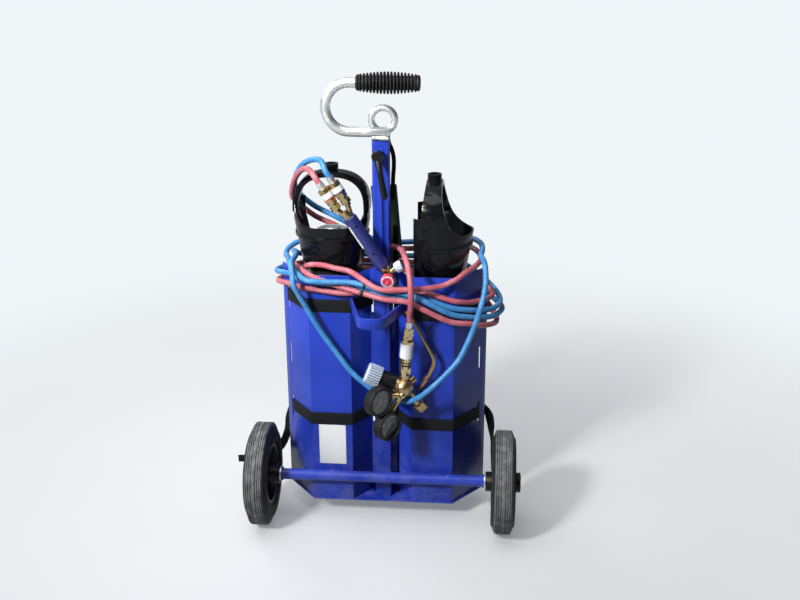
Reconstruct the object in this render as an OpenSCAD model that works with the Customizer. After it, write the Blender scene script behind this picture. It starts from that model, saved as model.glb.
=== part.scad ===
// Twin-bottle gas torch cart: a folded back sheet with two strapped bottles,
// a telescoping pull handle, two solid wheels and a wound twin hose with its torch.
// Millimetres, +Z up, +X to the user's right, +Y from the user towards the bottles.

/* [Wheels] */
// Wheel diameter over the tread
wheel_d = 200; // [180:1:220]
// Widest part of the tyre
tyre_w = 45; // [40:1:50]
// Width of the flat tread
tread_w = 29; // [26:1:32]
// Diameter of the rim under the tyre
rim_d = 118; // [110:1:124]
// Distance between the middles of the two treads
track_w = 470; // [464:1:480]
// Axle rod diameter
rod_d = 16; // [14:0.5:16.5]
// Axle tube diameter
axle_tube_d = 21.3; // [20.5:0.1:24]
// Axle tube length
axle_tube_len = 396; // [380:1:398]

/* [Back sheet] */
// Height of the sheet's lower edge above the floor
sheet_z = 44; // [40:1:60]
// Height of the back sheet itself
sheet_h = 466; // [440:1:480]
// Sheet thickness
sheet_t = 2; // [1.5:0.1:2.5]
// Middle of the sheet to the outer fold
fold_outer = 136; // [134:1:140]
// Middle of the sheet to the inner fold
fold_inner = 58; // [54:1:60]
// Middle of the sheet to its outer edge
edge_x = 196; // [190:1:198]
// How far the outer edge lies in front of the back faces
edge_y = 76; // [70:1:80]
// Half width of the channel floor behind the mast
web_half = 24.5; // [24:0.5:28]
// Depth of the channel
web_y = 45; // [45:1:50]

/* [Base] */
// Base plate thickness
base_t = 3; // [2:0.5:4]
// Height of the lip along the base plate's front edge
lip_h = 16; // [10:1:24]
// Thickness of the rubber pad under the foot
pad_t = 6; // [4:1:10]
// Width of the foot
foot_w = 260; // [200:2:300]
// Depth of the foot
foot_d = 30; // [24:1:36]

/* [Mast and handle] */
// Outside of the square mast tube
mast_w = 30; // [30:0.5:31]
// Wall of the mast tube
mast_t = 2; // [1.5:0.1:2]
// Height of the mast's top above the floor
mast_top = 760; // [740:1:780]
// Outside of the sliding inner tube
slide_w = 25; // [24:0.1:25]
// Travel of the handle
slide_travel = 340; // [250:5:360]
// Length of the inner tube left in the mast at full travel
slide_keep = 90; // [60:5:120]
// Handle tube diameter
bar_d = 18; // [16:0.5:18.5]
// Height between the lower and the upper arm of the handle
bar_rise = 86; // [80:1:96]
// Grip length
grip_len = 113; // [100:1:125]
// Number of ribs on the grip
grip_ribs = 17; // [11:1:19]

/* [Clamp] */
// Height of the clamp lever's axis
clamp_z = 735; // [725:1:738]
// Clamp thread diameter
clamp_d = 8; // [6:1:10]
// Lever length from its axis to its tip
lever_len = 74; // [60:1:85]

/* [Lifting eye] */
// Bore of the lifting eye
eye_bore = 30; // [28:0.5:32]
// Outside of the lifting eye
eye_d = 54; // [53:0.5:57]

/* [Bottles] */
// Bottle diameter
bottle_d = 140; // [136:0.5:141]
// Bottle's middle from the cart's middle
bottle_x = 97; // [96:0.5:99]
// Height of the acetylene bottle up to its guard
acetylene_h = 456; // [440:1:470]
// Height of the oxygen bottle up to its guard
oxygen_h = 472; // [455:1:485]
// Wall of the plastic guards
guard_t = 3; // [2.5:0.1:4]
// Valve handwheel diameter
handwheel_d = 60; // [50:1:64]

/* [Straps] */
// Width of the webbing
strap_w = 25; // [20:1:30]
// Thickness of the webbing
strap_t = 1.8; // [1.2:0.1:2.2]
// Height of each strap slot
slot_h = 44; // [36:1:50]
// Width of each strap slot
slot_w = 4.4; // [4:0.1:5]

/* [Hose bracket] */
// Height of the flat bar
bracket_h = 20; // [16:1:25]
// Thickness of the flat bar
bracket_t = 4; // [3:0.5:5]
// Reach of the loop from the back faces
bracket_reach = 127; // [110:1:130]
// Height of the loop's top edge
bracket_z = 475; // [470:1:480]

/* [Hoses] */
// Outside diameter of both hoses
hose_d = 10.5; // [10:0.5:12]

/* [Torch] */
// Torch handle diameter
torch_d = 25; // [22:0.5:25]
// Torch handle length
torch_len = 110; // [100:1:112]
// Diameter of the tip tube
tip_d = 8; // [6:0.5:8.5]

/* [Regulator] */
// Diameter of the gauge boots
boot_d = 55; // [50:0.5:55]
// Diameter of the adjusting knob
adjust_d = 40; // [36:0.5:42]

/* [Hidden] */
$fn = 64;
eps = 0.01;
run_gap = 0.05;
free_gap = 0.4;
wheel_r = wheel_d / 2;
axle_y = -axle_tube_d / 2;
bottle_r = bottle_d / 2;
bottle_gap = 0.5;
bottle_y = sheet_t + bottle_gap + bottle_r;
base_z = sheet_z - base_t;
foot_y = 125;

// ---------- helpers ----------

// Everything is drawn from the cart's back faces; the part's origin is under the foot's middle.
module placed() {
    translate([0, -foot_y, 0]) children();
}

// A solid along a line: z runs from point a towards point b.
module along(a, b) {
    v = b - a;
    translate(a) rotate([0, acos(v.z / norm(v)), atan2(v.y, v.x)]) children();
}

module hexagon(flats, h) {
    cylinder(d = flats / cos(30), h = h, $fn = 6);
}

module ring(d_out, d_in, h) {
    difference() {
        cylinder(d = d_out, h = h);
        translate([0, 0, -1]) cylinder(d = d_in, h = h + 2);
    }
}

module both_sides() {
    children();
    mirror([1, 0, 0]) children();
}

function unit(v) = v / norm(v);
function left_of(v) = [-v.y, v.x];
// Point i of an open path moved sideways by d, with mitred corners
function shifted(p, i, d) =
    let(n = len(p),
        a = i > 0 ? left_of(unit(p[i] - p[i - 1])) : left_of(unit(p[1] - p[0])),
        b = i < n - 1 ? left_of(unit(p[i + 1] - p[i])) : a,
        m = unit(a + b))
    p[i] + m * d / (m * a);
function side_of(p, d) = [for (i = [0:len(p) - 1]) shifted(p, i, d)];
function reversed(p) = [for (i = [len(p) - 1:-1:0]) p[i]];
// Flat strip between two offsets of an open path
module strip(p, d1, d2) {
    polygon(concat(side_of(p, d1), reversed(side_of(p, d2))));
}

// Point on a smooth curve through the route's points (Catmull-Rom)
function curve_at(p, i, t) =
    let(n = len(p),
        a = p[max(i - 1, 0)], b = p[i], c = p[min(i + 1, n - 1)], d = p[min(i + 2, n - 1)])
    0.5 * (2 * b + (c - a) * t + (2 * a - 5 * b + 4 * c - d) * t * t
        + (3 * b - a - 3 * c + d) * t * t * t);
function smooth_route(p, steps) =
    concat([for (i = [0:len(p) - 2]) for (k = [0:steps - 1]) curve_at(p, i, k / steps)], [p[len(p) - 1]]);
function tangent(p, i) = unit(p[min(i + 1, len(p) - 1)] - p[max(i - 1, 0)]);
// Frame carried along the route without twisting
function carry(p, i, u) = let(t = tangent(p, i), w = u - t * (u * t)) unit(w);
function frames(p, i, u) = i >= len(p) ? [] : let(w = carry(p, i, u)) concat([w], frames(p, i + 1, w));
// One tube swept along the route's own points
module tube(p, d, sides) {
    t0 = tangent(p, 0);
    u = frames(p, 0, abs(t0.z) > 0.8 ? [1, 0, 0] : [0, 0, 1]);
    n = len(p);
    pts = [for (i = [0:n - 1]) let(t = tangent(p, i), v = cross(t, u[i]))
        for (k = [0:sides - 1]) p[i] + d / 2 * (cos(360 * k / sides) * u[i] + sin(360 * k / sides) * v)];
    walls = [for (i = [0:n - 2]) for (k = [0:sides - 1])
        let(a = i * sides + k, b = i * sides + (k + 1) % sides)
        each [[a, a + sides, b], [b, a + sides, b + sides]]];
    start = [[for (k = [0:sides - 1]) k]];
    stop = [[for (k = [sides - 1:-1:0]) (n - 1) * sides + k]];
    polyhedron(pts, concat(walls, start, stop), convexity = 20);
}

// ---------- back sheet, base, mast ----------

// Line of the folded sheet's back surface, seen from above
sheet_line = [[-edge_x, edge_y], [-fold_outer, 0], [-fold_inner, 0], [-web_half, web_y],
    [web_half, web_y], [fold_inner, 0], [fold_outer, 0], [edge_x, edge_y]];
slot_z = [215, 330, 445];
// Middle of the slots in the outer faces, as a share of the face
slot_share = 0.8;
web_slot_x = 20.6;
outer_slot = [fold_outer + slot_share * (edge_x - fold_outer), slot_share * edge_y];
outer_angle = atan2(edge_y, edge_x - fold_outer);

module back_sheet() {
    color("royalblue") difference() {
        translate([0, 0, sheet_z]) linear_extrude(sheet_h) strip(sheet_line, 0, sheet_t);
        both_sides() for (z = slot_z) {
            translate([outer_slot.x, outer_slot.y, z]) rotate([0, 0, outer_angle])
                cube([slot_w, 4 * sheet_t, slot_h], center = true);
            if (z != slot_z[1]) translate([web_slot_x, web_y + sheet_t / 2, z])
                cube([slot_w - 0.6, 4 * sheet_t, slot_h], center = true);
        }
    }
}

base_over = 3;
base_front = 150;
module base_outline() {
    polygon([[-fold_outer - 1, -1], [fold_outer + 1, -1], [edge_x + base_over, edge_y],
        [edge_x + base_over, edge_y + 18], [165, base_front], [-165, base_front],
        [-edge_x - base_over, edge_y + 18], [-edge_x - base_over, edge_y]]);
}

module base_plate() {
    color("royalblue") {
        translate([0, 0, base_z]) linear_extrude(base_t) base_outline();
        translate([-164, base_front - base_t, sheet_z - eps]) cube([328, base_t, lip_h]);
    }
}

module front_foot() {
    leg_t = 3;
    color("royalblue") translate([-foot_w / 2, foot_y - foot_d / 2, pad_t]) difference() {
        cube([foot_w, foot_d, base_z - pad_t]);
        translate([-1, leg_t, leg_t]) cube([foot_w + 2, foot_d - 2 * leg_t, base_z]);
    }
}

module foot_pad() {
    color("dimgray") translate([-foot_w / 2, foot_y - foot_d / 2, 0]) cube([foot_w, foot_d, pad_t]);
}

mast_y = web_y - mast_w / 2;
module mast_tube() {
    bore = mast_w - 2 * mast_t;
    color("royalblue") difference() {
        translate([-mast_w / 2, mast_y - mast_w / 2, sheet_z]) cube([mast_w, mast_w, mast_top - sheet_z]);
        translate([-bore / 2, mast_y - bore / 2, sheet_z - 1]) cube([bore, bore, mast_top]);
        translate([clamp_x, mast_y, clamp_z]) rotate([90, 0, 0]) cylinder(d = clamp_d + 1, h = mast_w);
    }
}

// Half of the bracket's centre line: arm, rounded corner, front
bracket_corner = [20, -(bracket_reach - bracket_t / 2)];
// Sideways lean of the loop per length of its reach
bracket_lean = 0.05;
bracket_round = 24;
bracket_foot = [fold_inner - 1.5, -1.5];
function bracket_half() =
    let(a = bracket_foot, c = bracket_corner, u = unit(a - c), s = bracket_round * 0.8,
        start = c + u * s, front = [c.x - s, c.y])
    concat([a], [for (k = [0:8]) let(t = k / 8, v = 1 - t) v * v * start + 2 * t * v * c + t * t * front]);
module hose_bracket() {
    half = bracket_half();
    line = [for (p = concat(half, reversed([for (p = half) [-p.x, p.y]]))) [p.x + bracket_lean * p.y, p.y]];
    color("royalblue") difference() {
        translate([0, 0, bracket_z - bracket_h]) linear_extrude(bracket_h)
            strip(line, -bracket_t / 2, bracket_t / 2);
        // room for the upper straps behind the feet
        translate([-100, -4, bracket_z - bracket_h - 1]) cube([200, 10, bracket_h / 2 + 1]);
    }
}

// ---------- axle and wheels ----------

track = track_w / 2;
hub_in = 34;
hub_out = 27;
hub_d = 38;
bush_d = 22;
pocket_d = 30;
pocket_h = 7;
rod_end = track + hub_out - 2;
module axle_line() {
    translate([0, axle_y, wheel_r]) rotate([0, 90, 0]) children();
}

module axle_tube() {
    flange_t = 3;
    color("royalblue") axle_line() difference() {
        union() {
            translate([0, 0, -axle_tube_len / 2]) cylinder(d = axle_tube_d, h = axle_tube_len);
            for (s = [-1, 1]) translate([0, 0, s * (axle_tube_len / 2 - flange_t / 2)])
                cylinder(d = axle_tube_d + 5, h = flange_t, center = true);
        }
        cylinder(d = rod_d + 2 * run_gap, h = axle_tube_len + 2, center = true);
    }
}

module axle_rod() {
    color("silver") axle_line() cylinder(d = rod_d, h = 2 * rod_end, center = true);
}

washer_t = 2;
module axle_washers() {
    color("silver") for (s = [0, 1]) mirror([s, 0, 0]) translate([axle_tube_len / 2, 0, 0])
        axle_line() ring(30, rod_d + 2 * run_gap, washer_t);
}

module axle_clips() {
    clip_t = 1.5;
    color("silver") for (s = [0, 1]) mirror([s, 0, 0])
        translate([track + hub_out - pocket_h + free_gap, 0, 0]) axle_line() ring(24, rod_d, clip_t);
}

// Half of the tyre's section as [radius, offset from the middle]
groove_w = 1.6;
groove_h = 2;
groove_at = [4.2, 8.6, 12.6];
module tyre_section() {
    half = tyre_w / 2;
    crown = tread_w / 2;
    difference() {
        polygon(concat(
            [[rim_d / 2, -half + 6], [rim_d / 2 + 8, -half + 1], [rim_d / 2 + 12, -half],
             [wheel_r - 16, -half], [wheel_r - 15, -half + 1.6], [wheel_r - 7, -crown - 3],
             [wheel_r - 2, -crown - 1], [wheel_r, -crown]],
            [[wheel_r, crown], [wheel_r - 2, crown + 1], [wheel_r - 7, crown + 3],
             [wheel_r - 15, half - 1.6], [wheel_r - 16, half], [rim_d / 2 + 12, half],
             [rim_d / 2 + 8, half - 1], [rim_d / 2, half - 6]]));
        for (s = [-1, 1]) for (g = groove_at)
            translate([wheel_r - groove_h, s * g - groove_w / 2]) square([groove_h + 1, groove_w]);
        for (s = [-1, 1]) for (r = [rim_d / 2 + 15, rim_d / 2 + 20])
            translate([r, s * half - 1]) square([1.6, 2]);
    }
}

// Turns children about the wheel's own axis on the side s
module at_wheel(s) {
    translate([s * track, 0, 0]) axle_line() rotate([0, s > 0 ? 0 : 180, 0]) children();
}

module tyre(s) {
    color("dimgray") at_wheel(s) rotate_extrude($fn = 96) tyre_section();
}

module rim(s) {
    web_t = 7;
    edge = tyre_w / 2 - 4;
    color("darkslategray") at_wheel(s) difference() {
        rotate_extrude() polygon([
            [bush_d / 2, -hub_in], [hub_d / 2, -hub_in], [hub_d / 2, -web_t / 2],
            [rim_d / 2 - 6, -web_t / 2], [rim_d / 2 - 6, -edge], [rim_d / 2, -edge], [rim_d / 2, edge],
    [rim_d / 2 - 6, edge],
            [rim_d / 2 - 6, web_t / 2], [hub_d / 2, web_t / 2], [hub_d / 2, hub_out],
            [pocket_d / 2, hub_out], [pocket_d / 2, hub_out - pocket_h], [bush_d / 2, hub_out - pocket_h]]);
        for (k = [0:4]) rotate([0, 0, 72 * k]) translate([rim_d / 4 + 6, 0, -20]) cylinder(d = 14, h = 40);
    }
}

module wheel_bush(s) {
    color("ivory") at_wheel(s) translate([0, 0, -hub_in])
        ring(bush_d, rod_d + 2 * run_gap, hub_in + hub_out - pocket_h);
}

module hub_cap(s) {
    cap_t = 3;
    skirt = 3;
    color("black") at_wheel(s) translate([0, 0, hub_out]) difference() {
        union() {
            cylinder(d = hub_d, h = skirt + cap_t - 1);
            translate([0, 0, skirt + cap_t - 1]) cylinder(d1 = hub_d, d2 = hub_d - 4, h = 1.5);
        }
        translate([0, 0, -1]) cylinder(d = pocket_d, h = skirt + 1);
        translate([0, 0, skirt + cap_t - 0.5]) cylinder(d = 24, h = 2);
    }
}

// ---------- handle, eye and clamp ----------

plate_t = 5;
plate_z = mast_top + free_gap;
bar_y = mast_y - 13.6;
bar_z = plate_z + plate_t + bar_d / 2 - 0.9;
bend_x = -53.5;
bend_r = bar_rise / 2;
bar_right = 18;
grip_left = -42;
eye_y = mast_y + 1.7;
eye_x = 4;
eye_stem = 27.5;
eye_thread = 12;
slide_len = slide_travel + slide_keep;

module bar_run(x0, x1, z) {
    translate([x0, bar_y, z]) rotate([0, 90, 0]) cylinder(d = bar_d, h = x1 - x0);
}

module handle_frame() {
    wall = 2;
    bore = slide_w - 2 * wall;
    bar_in = grip_left + grip_len - 8;
    color("silver") difference() {
        union() {
            translate([-slide_w / 2, mast_y - slide_w / 2, plate_z - slide_len])
                cube([slide_w, slide_w, slide_len + eps]);
            translate([-15, mast_y - 20.5, plate_z]) cube([30, 37, plate_t]);
            bar_run(bend_x, bar_right, bar_z);
            bar_run(bend_x, bar_in, bar_z + bar_rise);
            translate([bend_x, bar_y, bar_z + bend_r]) rotate([90, 0, 0])
                rotate([0, 0, 90]) rotate_extrude(angle = 180) translate([bend_r, 0]) circle(d = bar_d);
        }
        translate([-bore / 2, mast_y - bore / 2, plate_z - slide_len - 1])
            cube([bore, bore, slide_len + 1]);
        translate([eye_x, eye_y, plate_z - 1]) cylinder(d = eye_thread, h = plate_t + 2);
    }
}

// Grip outline: round ends and ribs that swell towards the middle
core_r = 12.5;
rib_pitch = 6;
rib_w = 3.2;
rib_side = 15.5;
rib_swell = 4;
module handle_grip() {
    span = (grip_ribs - 1) * rib_pitch;
    bore_d = bar_d + 2 * run_gap;
    color("black") translate([grip_left, bar_y, bar_z + bar_rise]) rotate([0, 90, 0]) difference() {
        union() {
            translate([0, 0, 2]) cylinder(r = core_r, h = grip_len - 4);
            for (z = [2, grip_len - 6]) translate([0, 0, z]) cylinder(r = core_r + 1.5, h = 4);
            cylinder(r1 = core_r - 1.5, r2 = core_r, h = 2);
            translate([0, 0, grip_len - 2]) cylinder(r1 = core_r, r2 = core_r - 1.5, h = 2);
            for (k = [0:grip_ribs - 1])
                translate([0, 0, grip_len / 2 - span / 2 + k * rib_pitch - rib_w / 2])
                    cylinder(r = rib_side + rib_swell * sin(180 * k / (grip_ribs - 1)), h = rib_w);
        }
        translate([0, 0, -1]) cylinder(d = bore_d, h = grip_len - 7 + 1);
    }
}

module lifting_eye() {
    section = (eye_d - eye_bore) / 4 + 0.2;
    foot_top = plate_z + plate_t;
    color("silver") translate([eye_x, eye_y, foot_top]) {
        difference() {
            union() {
                translate([0, 0, eye_stem]) rotate([90, 0, 0])
                    rotate_extrude() translate([eye_d / 2 - section, 0]) circle(r = section);
                cylinder(d1 = 14, d2 = 11.5, h = 5);
            }
            translate([0, 0, eye_stem]) rotate([90, 0, 0]) cylinder(d = eye_bore, h = 20, center = true);
        }
        translate([0, 0, -17]) cylinder(d = eye_thread, h = 17 + eps);
    }
}

module eye_nut() {
    nut_h = 8;
    nut_w = slide_w - 4 - 0.4;
    color("silver") difference() {
        translate([-nut_w / 2, mast_y - nut_w / 2, plate_z - nut_h - 1]) cube([nut_w, nut_w, nut_h]);
        translate([eye_x, eye_y, plate_z - nut_h - 2]) cylinder(d = eye_thread, h = nut_h + 2);
    }
}

clamp_x = -3;
mast_face = mast_y - mast_w / 2;
clamp_nut_h = 6.5;
hub_back = mast_face - clamp_nut_h - 1;
hub_h = 21;
lever_tip = [14, 0, -lever_len];
// Middle of the lever's arm at a share of its length, in front of the hub
function lever_at(share, out) = [clamp_x, hub_back - hub_h - out, clamp_z] + lever_tip * share;
module clamp_line(y) {
    translate([clamp_x, y, clamp_z]) rotate([90, 0, 0]) children();
}

module clamp_nut() {
    color("silver") clamp_line(mast_face) difference() {
        hexagon(13, clamp_nut_h);
        translate([0, 0, -1]) cylinder(d = clamp_d + 2 * run_gap, h = clamp_nut_h + 2);
    }
}

module clamp_stud() {
    inner_face = mast_y - slide_w / 2 - free_gap;
    color("silver") clamp_line(inner_face) cylinder(d = clamp_d, h = inner_face - hub_back + 14);
}

module clamp_lever() {
    color("dimgray") difference() {
        union() {
            clamp_line(hub_back) cylinder(r1 = 8.5, r2 = 10.5, h = hub_h - 4);
            clamp_line(hub_back - hub_h + 4) cylinder(r1 = 10.5, r2 = 9.5, h = 4);
            hull() {
                clamp_line(hub_back - hub_h + 13) cylinder(r = 7, h = 9, $fn = 32);
                translate(lever_at(0.35, 1)) sphere(r = 5.2, $fn = 32);
            }
            hull() {
                translate(lever_at(0.35, 1)) sphere(r = 5.2, $fn = 32);
                translate(lever_at(0.93, 5)) sphere(r = 6.2, $fn = 32);
            }
        }
        clamp_line(hub_back + 1) cylinder(d = clamp_d, h = 15);
        clamp_line(hub_back - hub_h + 3) cylinder(d = 12, h = 6);
    }
}

module clamp_cap() {
    color("black") clamp_line(hub_back - hub_h + 3) cylinder(d = 12, h = 3.6);
}

// ---------- bottles ----------

guard_seat_a = sheet_z + acetylene_h;
guard_seat_o = sheet_z + oxygen_h;
module bottle_shape(h) {
    shoulder = 60;
    neck_r = 30;
    foot_r = 10;
    wall_top = h - 2 - shoulder;
    translate([0, 0, sheet_z + bottle_gap]) rotate_extrude($fn = 96) polygon(concat(
        [[0, 0]],
        [for (a = [0:15:90]) [bottle_r - foot_r + foot_r * sin(a), foot_r - foot_r * cos(a)]],
        [for (a = [0:10:90]) [neck_r + (bottle_r - neck_r) * cos(a), wall_top + (shoulder - 2) * sin(a)]],
        [[neck_r, h - bottle_gap], [0, h - bottle_gap]]));
}

module oxygen_bottle() {
    color("black") translate([-bottle_x, bottle_y, 0]) bottle_shape(oxygen_h);
}

module acetylene_bottle() {
    color("black") translate([bottle_x, bottle_y, 0]) bottle_shape(acetylene_h);
}

// Guard in its own frame: opening towards -Y, seat at z = 0
guard_base_r = 57;
guard_rim_r = 71;
guard_rim_z = 85;
guard_side_z = 125;
guard_rear = 38;
guard_floor = 4;
tab_z = 117;
module guard_wall(grow, z0) {
    translate([0, 0, z0]) cylinder(r1 = guard_base_r + grow, r2 = guard_rim_r + grow, h = guard_rim_z - z0);
    translate([0, 0, guard_rim_z - eps])
        cylinder(r = guard_rim_r + grow, h = guard_side_z - guard_rim_z + 1);
}

// Side view of what stays of the wall: low at the opening, high at the arch's feet
module guard_side_view() {
    lip = [[-80, 85], [-74, 83.5], [-62, 80.5], [-51, 82], [-41, 87], [-32, 95.5], [-26, 105],
        [-21.5, 115], [-18.5, guard_side_z]];
    rest = [[24, guard_side_z], [24, tab_z], [80, tab_z], [80, -1]];
    polygon(concat([[-80, -1]], smooth_route(lip, 3), rest));
}

arch_w = 71;
arch_top = 173.5;
arch_foot = 108;
arch_power = 0.82;
module arch_outline(inset) {
    r = arch_w - inset;
    h = arch_top - arch_foot - inset;
    function bent(v) = sign(v) * pow(abs(v), arch_power);
    polygon(concat([[-r, 60]], [for (t = [180:-5:0]) [r * bent(cos(t)), arch_foot + h * bent(sin(t))]],
        [[r, 60]]));
}

module arch_side_view() {
    edge = [[-21, 112], [-18.5, guard_side_z], [-15, 140], [-12.5, 158], [-11, arch_top + 3]];
    rest = [[17, arch_top + 3], [20.5, 150], [24, guard_side_z], [24, 100]];
    polygon(concat([[-21, 100]], smooth_route(edge, 3), rest));
}

module guard() {
    boss_d = 26;
    boss_y = 3;
    boss_z = 187;
    difference() {
        union() {
            intersection() {
                difference() {
                    guard_wall(0, 0);
                    guard_wall(-guard_t, guard_floor);
                    translate([0, 0, guard_side_z]) cylinder(r = 90, h = 20);
                }
                translate([-100, 0, 0]) rotate([90, 0, 90]) linear_extrude(200) guard_side_view();
            }
            intersection() {
                rotate([90, 0, 0]) translate([0, 0, -60]) linear_extrude(120) difference() {
                    arch_outline(0);
                    arch_outline(10);
                }
                translate([-100, 0, 0]) rotate([90, 0, 90]) linear_extrude(200) arch_side_view();
            }
            translate([0, boss_y, 165]) cylinder(d = boss_d - 4, h = 10);
            translate([0, boss_y, 172.5]) cylinder(d = boss_d, h = boss_z - 172.5);
            // rolled lip below the opening
            intersection() {
                difference() {
                    translate([0, 0, 56]) cylinder(r = guard_rim_r - 1.4, h = 6);
                    translate([0, 0, 55]) cylinder(r = guard_rim_r - 5.5, h = 8);
                }
                translate([-80, -80, 0]) cube([160, 90, 100]);
            }
        }
        translate([-100, guard_rear, -1]) cube([200, 100, 240]);
        translate([0, 0, -1]) cylinder(r = 17, h = guard_floor + 2);
        translate([0, boss_y, boss_z - 4]) cylinder(d = boss_d - 8, h = 6);
    }
}

module oxygen_guard() {
    color("black") translate([-bottle_x, bottle_y, guard_seat_o]) guard();
}

module acetylene_guard() {
    color("black") translate([bottle_x, bottle_y, guard_seat_a]) rotate([0, 0, 90]) guard();
}

stem_z = 56;
outlet_z = 28;
module valve(outlet_len) {
    difference() {
        union() {
            cylinder(d = 30, h = 18);
            translate([0, 0, 18]) hexagon(26, 26);
            translate([0, 0, 44]) cylinder(d = 18, h = 6);
            translate([0, 0, 50]) cylinder(d = 9, h = stem_z - 50 + 8);
            translate([0, 0, outlet_z]) rotate([-90, 0, 0]) cylinder(d = 18, h = outlet_len);
        }
        translate([0, 8, outlet_z]) rotate([-90, 0, 0]) cylinder(d = 8, h = outlet_len);
    }
}

valve_outlet = 26;
module oxygen_valve() {
    color("goldenrod") translate([-bottle_x, bottle_y, guard_seat_o]) {
        valve(valve_outlet);
        translate([0, valve_outlet - 12, outlet_z]) rotate([-90, 0, 0]) difference() {
            hexagon(22, 12);
            translate([0, 0, -1]) cylinder(d = 17, h = 14);
        }
    }
}

module acetylene_valve() {
    color("goldenrod") translate([bottle_x, bottle_y, guard_seat_a]) rotate([0, 0, 90]) valve(valve_outlet);
}

module handwheel() {
    wheel_t = 11;
    translate([0, 0, stem_z - 3]) difference() {
        union() {
            cylinder(d1 = handwheel_d - 6, d2 = handwheel_d, h = 3);
            translate([0, 0, 3]) cylinder(d = handwheel_d, h = wheel_t - 5);
            translate([0, 0, wheel_t - 2]) cylinder(d1 = handwheel_d, d2 = handwheel_d - 8, h = 2);
            translate([0, 0, wheel_t]) cylinder(d1 = 30, d2 = 26, h = 3);
        }
        translate([0, 0, -1]) cylinder(d = 9 + 2 * run_gap, h = 13);
        for (k = [0:11]) rotate([0, 0, 30 * k]) translate([handwheel_d / 2 + 3, 0, -1])
            cylinder(d = 11, h = 30);
    }
}

module oxygen_handwheel() {
    color("gray") translate([-bottle_x, bottle_y, guard_seat_o]) handwheel();
}

module acetylene_handwheel() {
    color("gray") translate([bottle_x, bottle_y, guard_seat_a]) handwheel();
}

// ---------- straps ----------

strap_gap = 0.3;
// Middle line of one strap, seen from above: in at the web slot, along the sheet's back, in again
// at the outer slot, and round the bottle's front
function strap_line() =
    let(c = [bottle_x, bottle_y], r = bottle_r + strap_gap + strap_t / 2,
        back = side_of(sheet_line, -(strap_gap + strap_t / 2)),
        out_n = [sin(outer_angle), -cos(outer_angle)],
        w = strap_gap + strap_t / 2,
        a = [web_slot_x, web_y + sheet_t + 2.5], b = outer_slot - out_n * (sheet_t + 2.5),
        ta = atan2(a.y - c.y, a.x - c.x) + 360 - acos(r / norm(a - c)),
        tb = atan2(b.y - c.y, b.x - c.x) + acos(r / norm(b - c)))
    concat([a, [web_slot_x, web_y - w], [back[4].x - 1, web_y - w], back[5], back[6],
        outer_slot + out_n * w, b],
        [for (k = [0:16]) let(t = tb + (ta - tb) * k / 16) c + r * [cos(t), sin(t)]], [a]);
module strap_loop(z) {
    line = strap_line();
    n = len(line) - 1;
    function ring_point(i, d) =
        let(p = line[(i + n - 1) % n], q = line[i % n], s = line[(i + 1) % n],
            u = left_of(unit(q - p)), v = left_of(unit(s - q)), m = unit(u + v))
        q + m * d / (m * u);
    translate([0, 0, z - strap_w / 2]) linear_extrude(strap_w) difference() {
        polygon([for (i = [0:n - 1]) ring_point(i, -strap_t / 2)]);
        polygon([for (i = [0:n - 1]) ring_point(i, strap_t / 2)]);
    }
}

upper_strap_z = [451, 438];
lower_strap_z = [219, 213];
module bottle_straps() {
    color("black") for (z = [upper_strap_z, lower_strap_z]) {
        mirror([1, 0, 0]) strap_loop(z[0]);
        strap_loop(z[1]);
    }
}

// Cam buckles on the bottles' front
module strap_buckles() {
    buckle = [30, 6, strap_w + 6];
    front = bottle_y + bottle_r + strap_gap * 2 + strap_t;
    color("silver") for (side = [0, 1]) for (z = [upper_strap_z[side], lower_strap_z[side]])
        translate([(side * 2 - 1) * bottle_x - buckle.x / 2, front, z - buckle.z / 2])
            cube(buckle);
}

// Free ends of the lower straps: each lies on its strap, lifts off it and hangs beside the sheet
tail_gap = 0.05;
tail_w = 16;
// Point on a strap's outer face at the angle t round its bottle on the side s
function on_strap(s, t, z) =
    let(lift = 1.5 * pow(max(0, 44 - t) / 12, 2),
        r = bottle_r + strap_gap + 1.5 * strap_t + tail_gap + lift)
    [s * (bottle_x + r * cos(t)), bottle_y + r * sin(t), z];
function on_straps(s, z) = [for (t = [64:-4:32]) on_strap(s, t, z)];
tail_left = concat(on_straps(-1, lower_strap_z[0]), [[-176, 102, 214], [-190, 97, 198], [-200, 96, 168],
    [-206, 98, 134], [-221, 102, 101], [-245, 103, 80], [-276, 101, 72], [-311, 98, 70]]);
tail_right = concat(on_straps(1, lower_strap_z[1]), [[176, 101, 212], [191, 93, 210], [204, 89, 196],
    [210.5, 91, 162], [213.5, 97, 120], [216, 102, 70]]);
// Flat webbing along the points, its width turned towards the side vector
module web_tail(p, w, side = [0, 0, 1]) {
    n = len(p);
    half = w / 2;
    t = strap_t / 2;
    pts = [for (i = [0:n - 1]) let(d = tangent(p, i), a = unit(side - d * (side * d)), b = cross(d, a))
        each [for (c = [[1, 1], [-1, 1], [-1, -1], [1, -1]]) p[i] + a * half * c[0] + b * t * c[1]]];
    walls = [for (i = [0:n - 2]) for (k = [0:3]) let(a = 4 * i + k, b = 4 * i + (k + 1) % 4)
        each [[a, a + 4, b], [b, a + 4, b + 4]]];
    polyhedron(pts, concat(walls, [[0, 1, 2, 3]], [[4 * n - 1, 4 * n - 2, 4 * n - 3, 4 * n - 4]]));
}

module strap_tails() {
    color("black") {
        web_tail(smooth_route(tail_left, 3), tail_w);
        web_tail(smooth_route(tail_right, 3), tail_w);
    }
}

// ---------- card on its strap, data plate ----------

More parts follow.
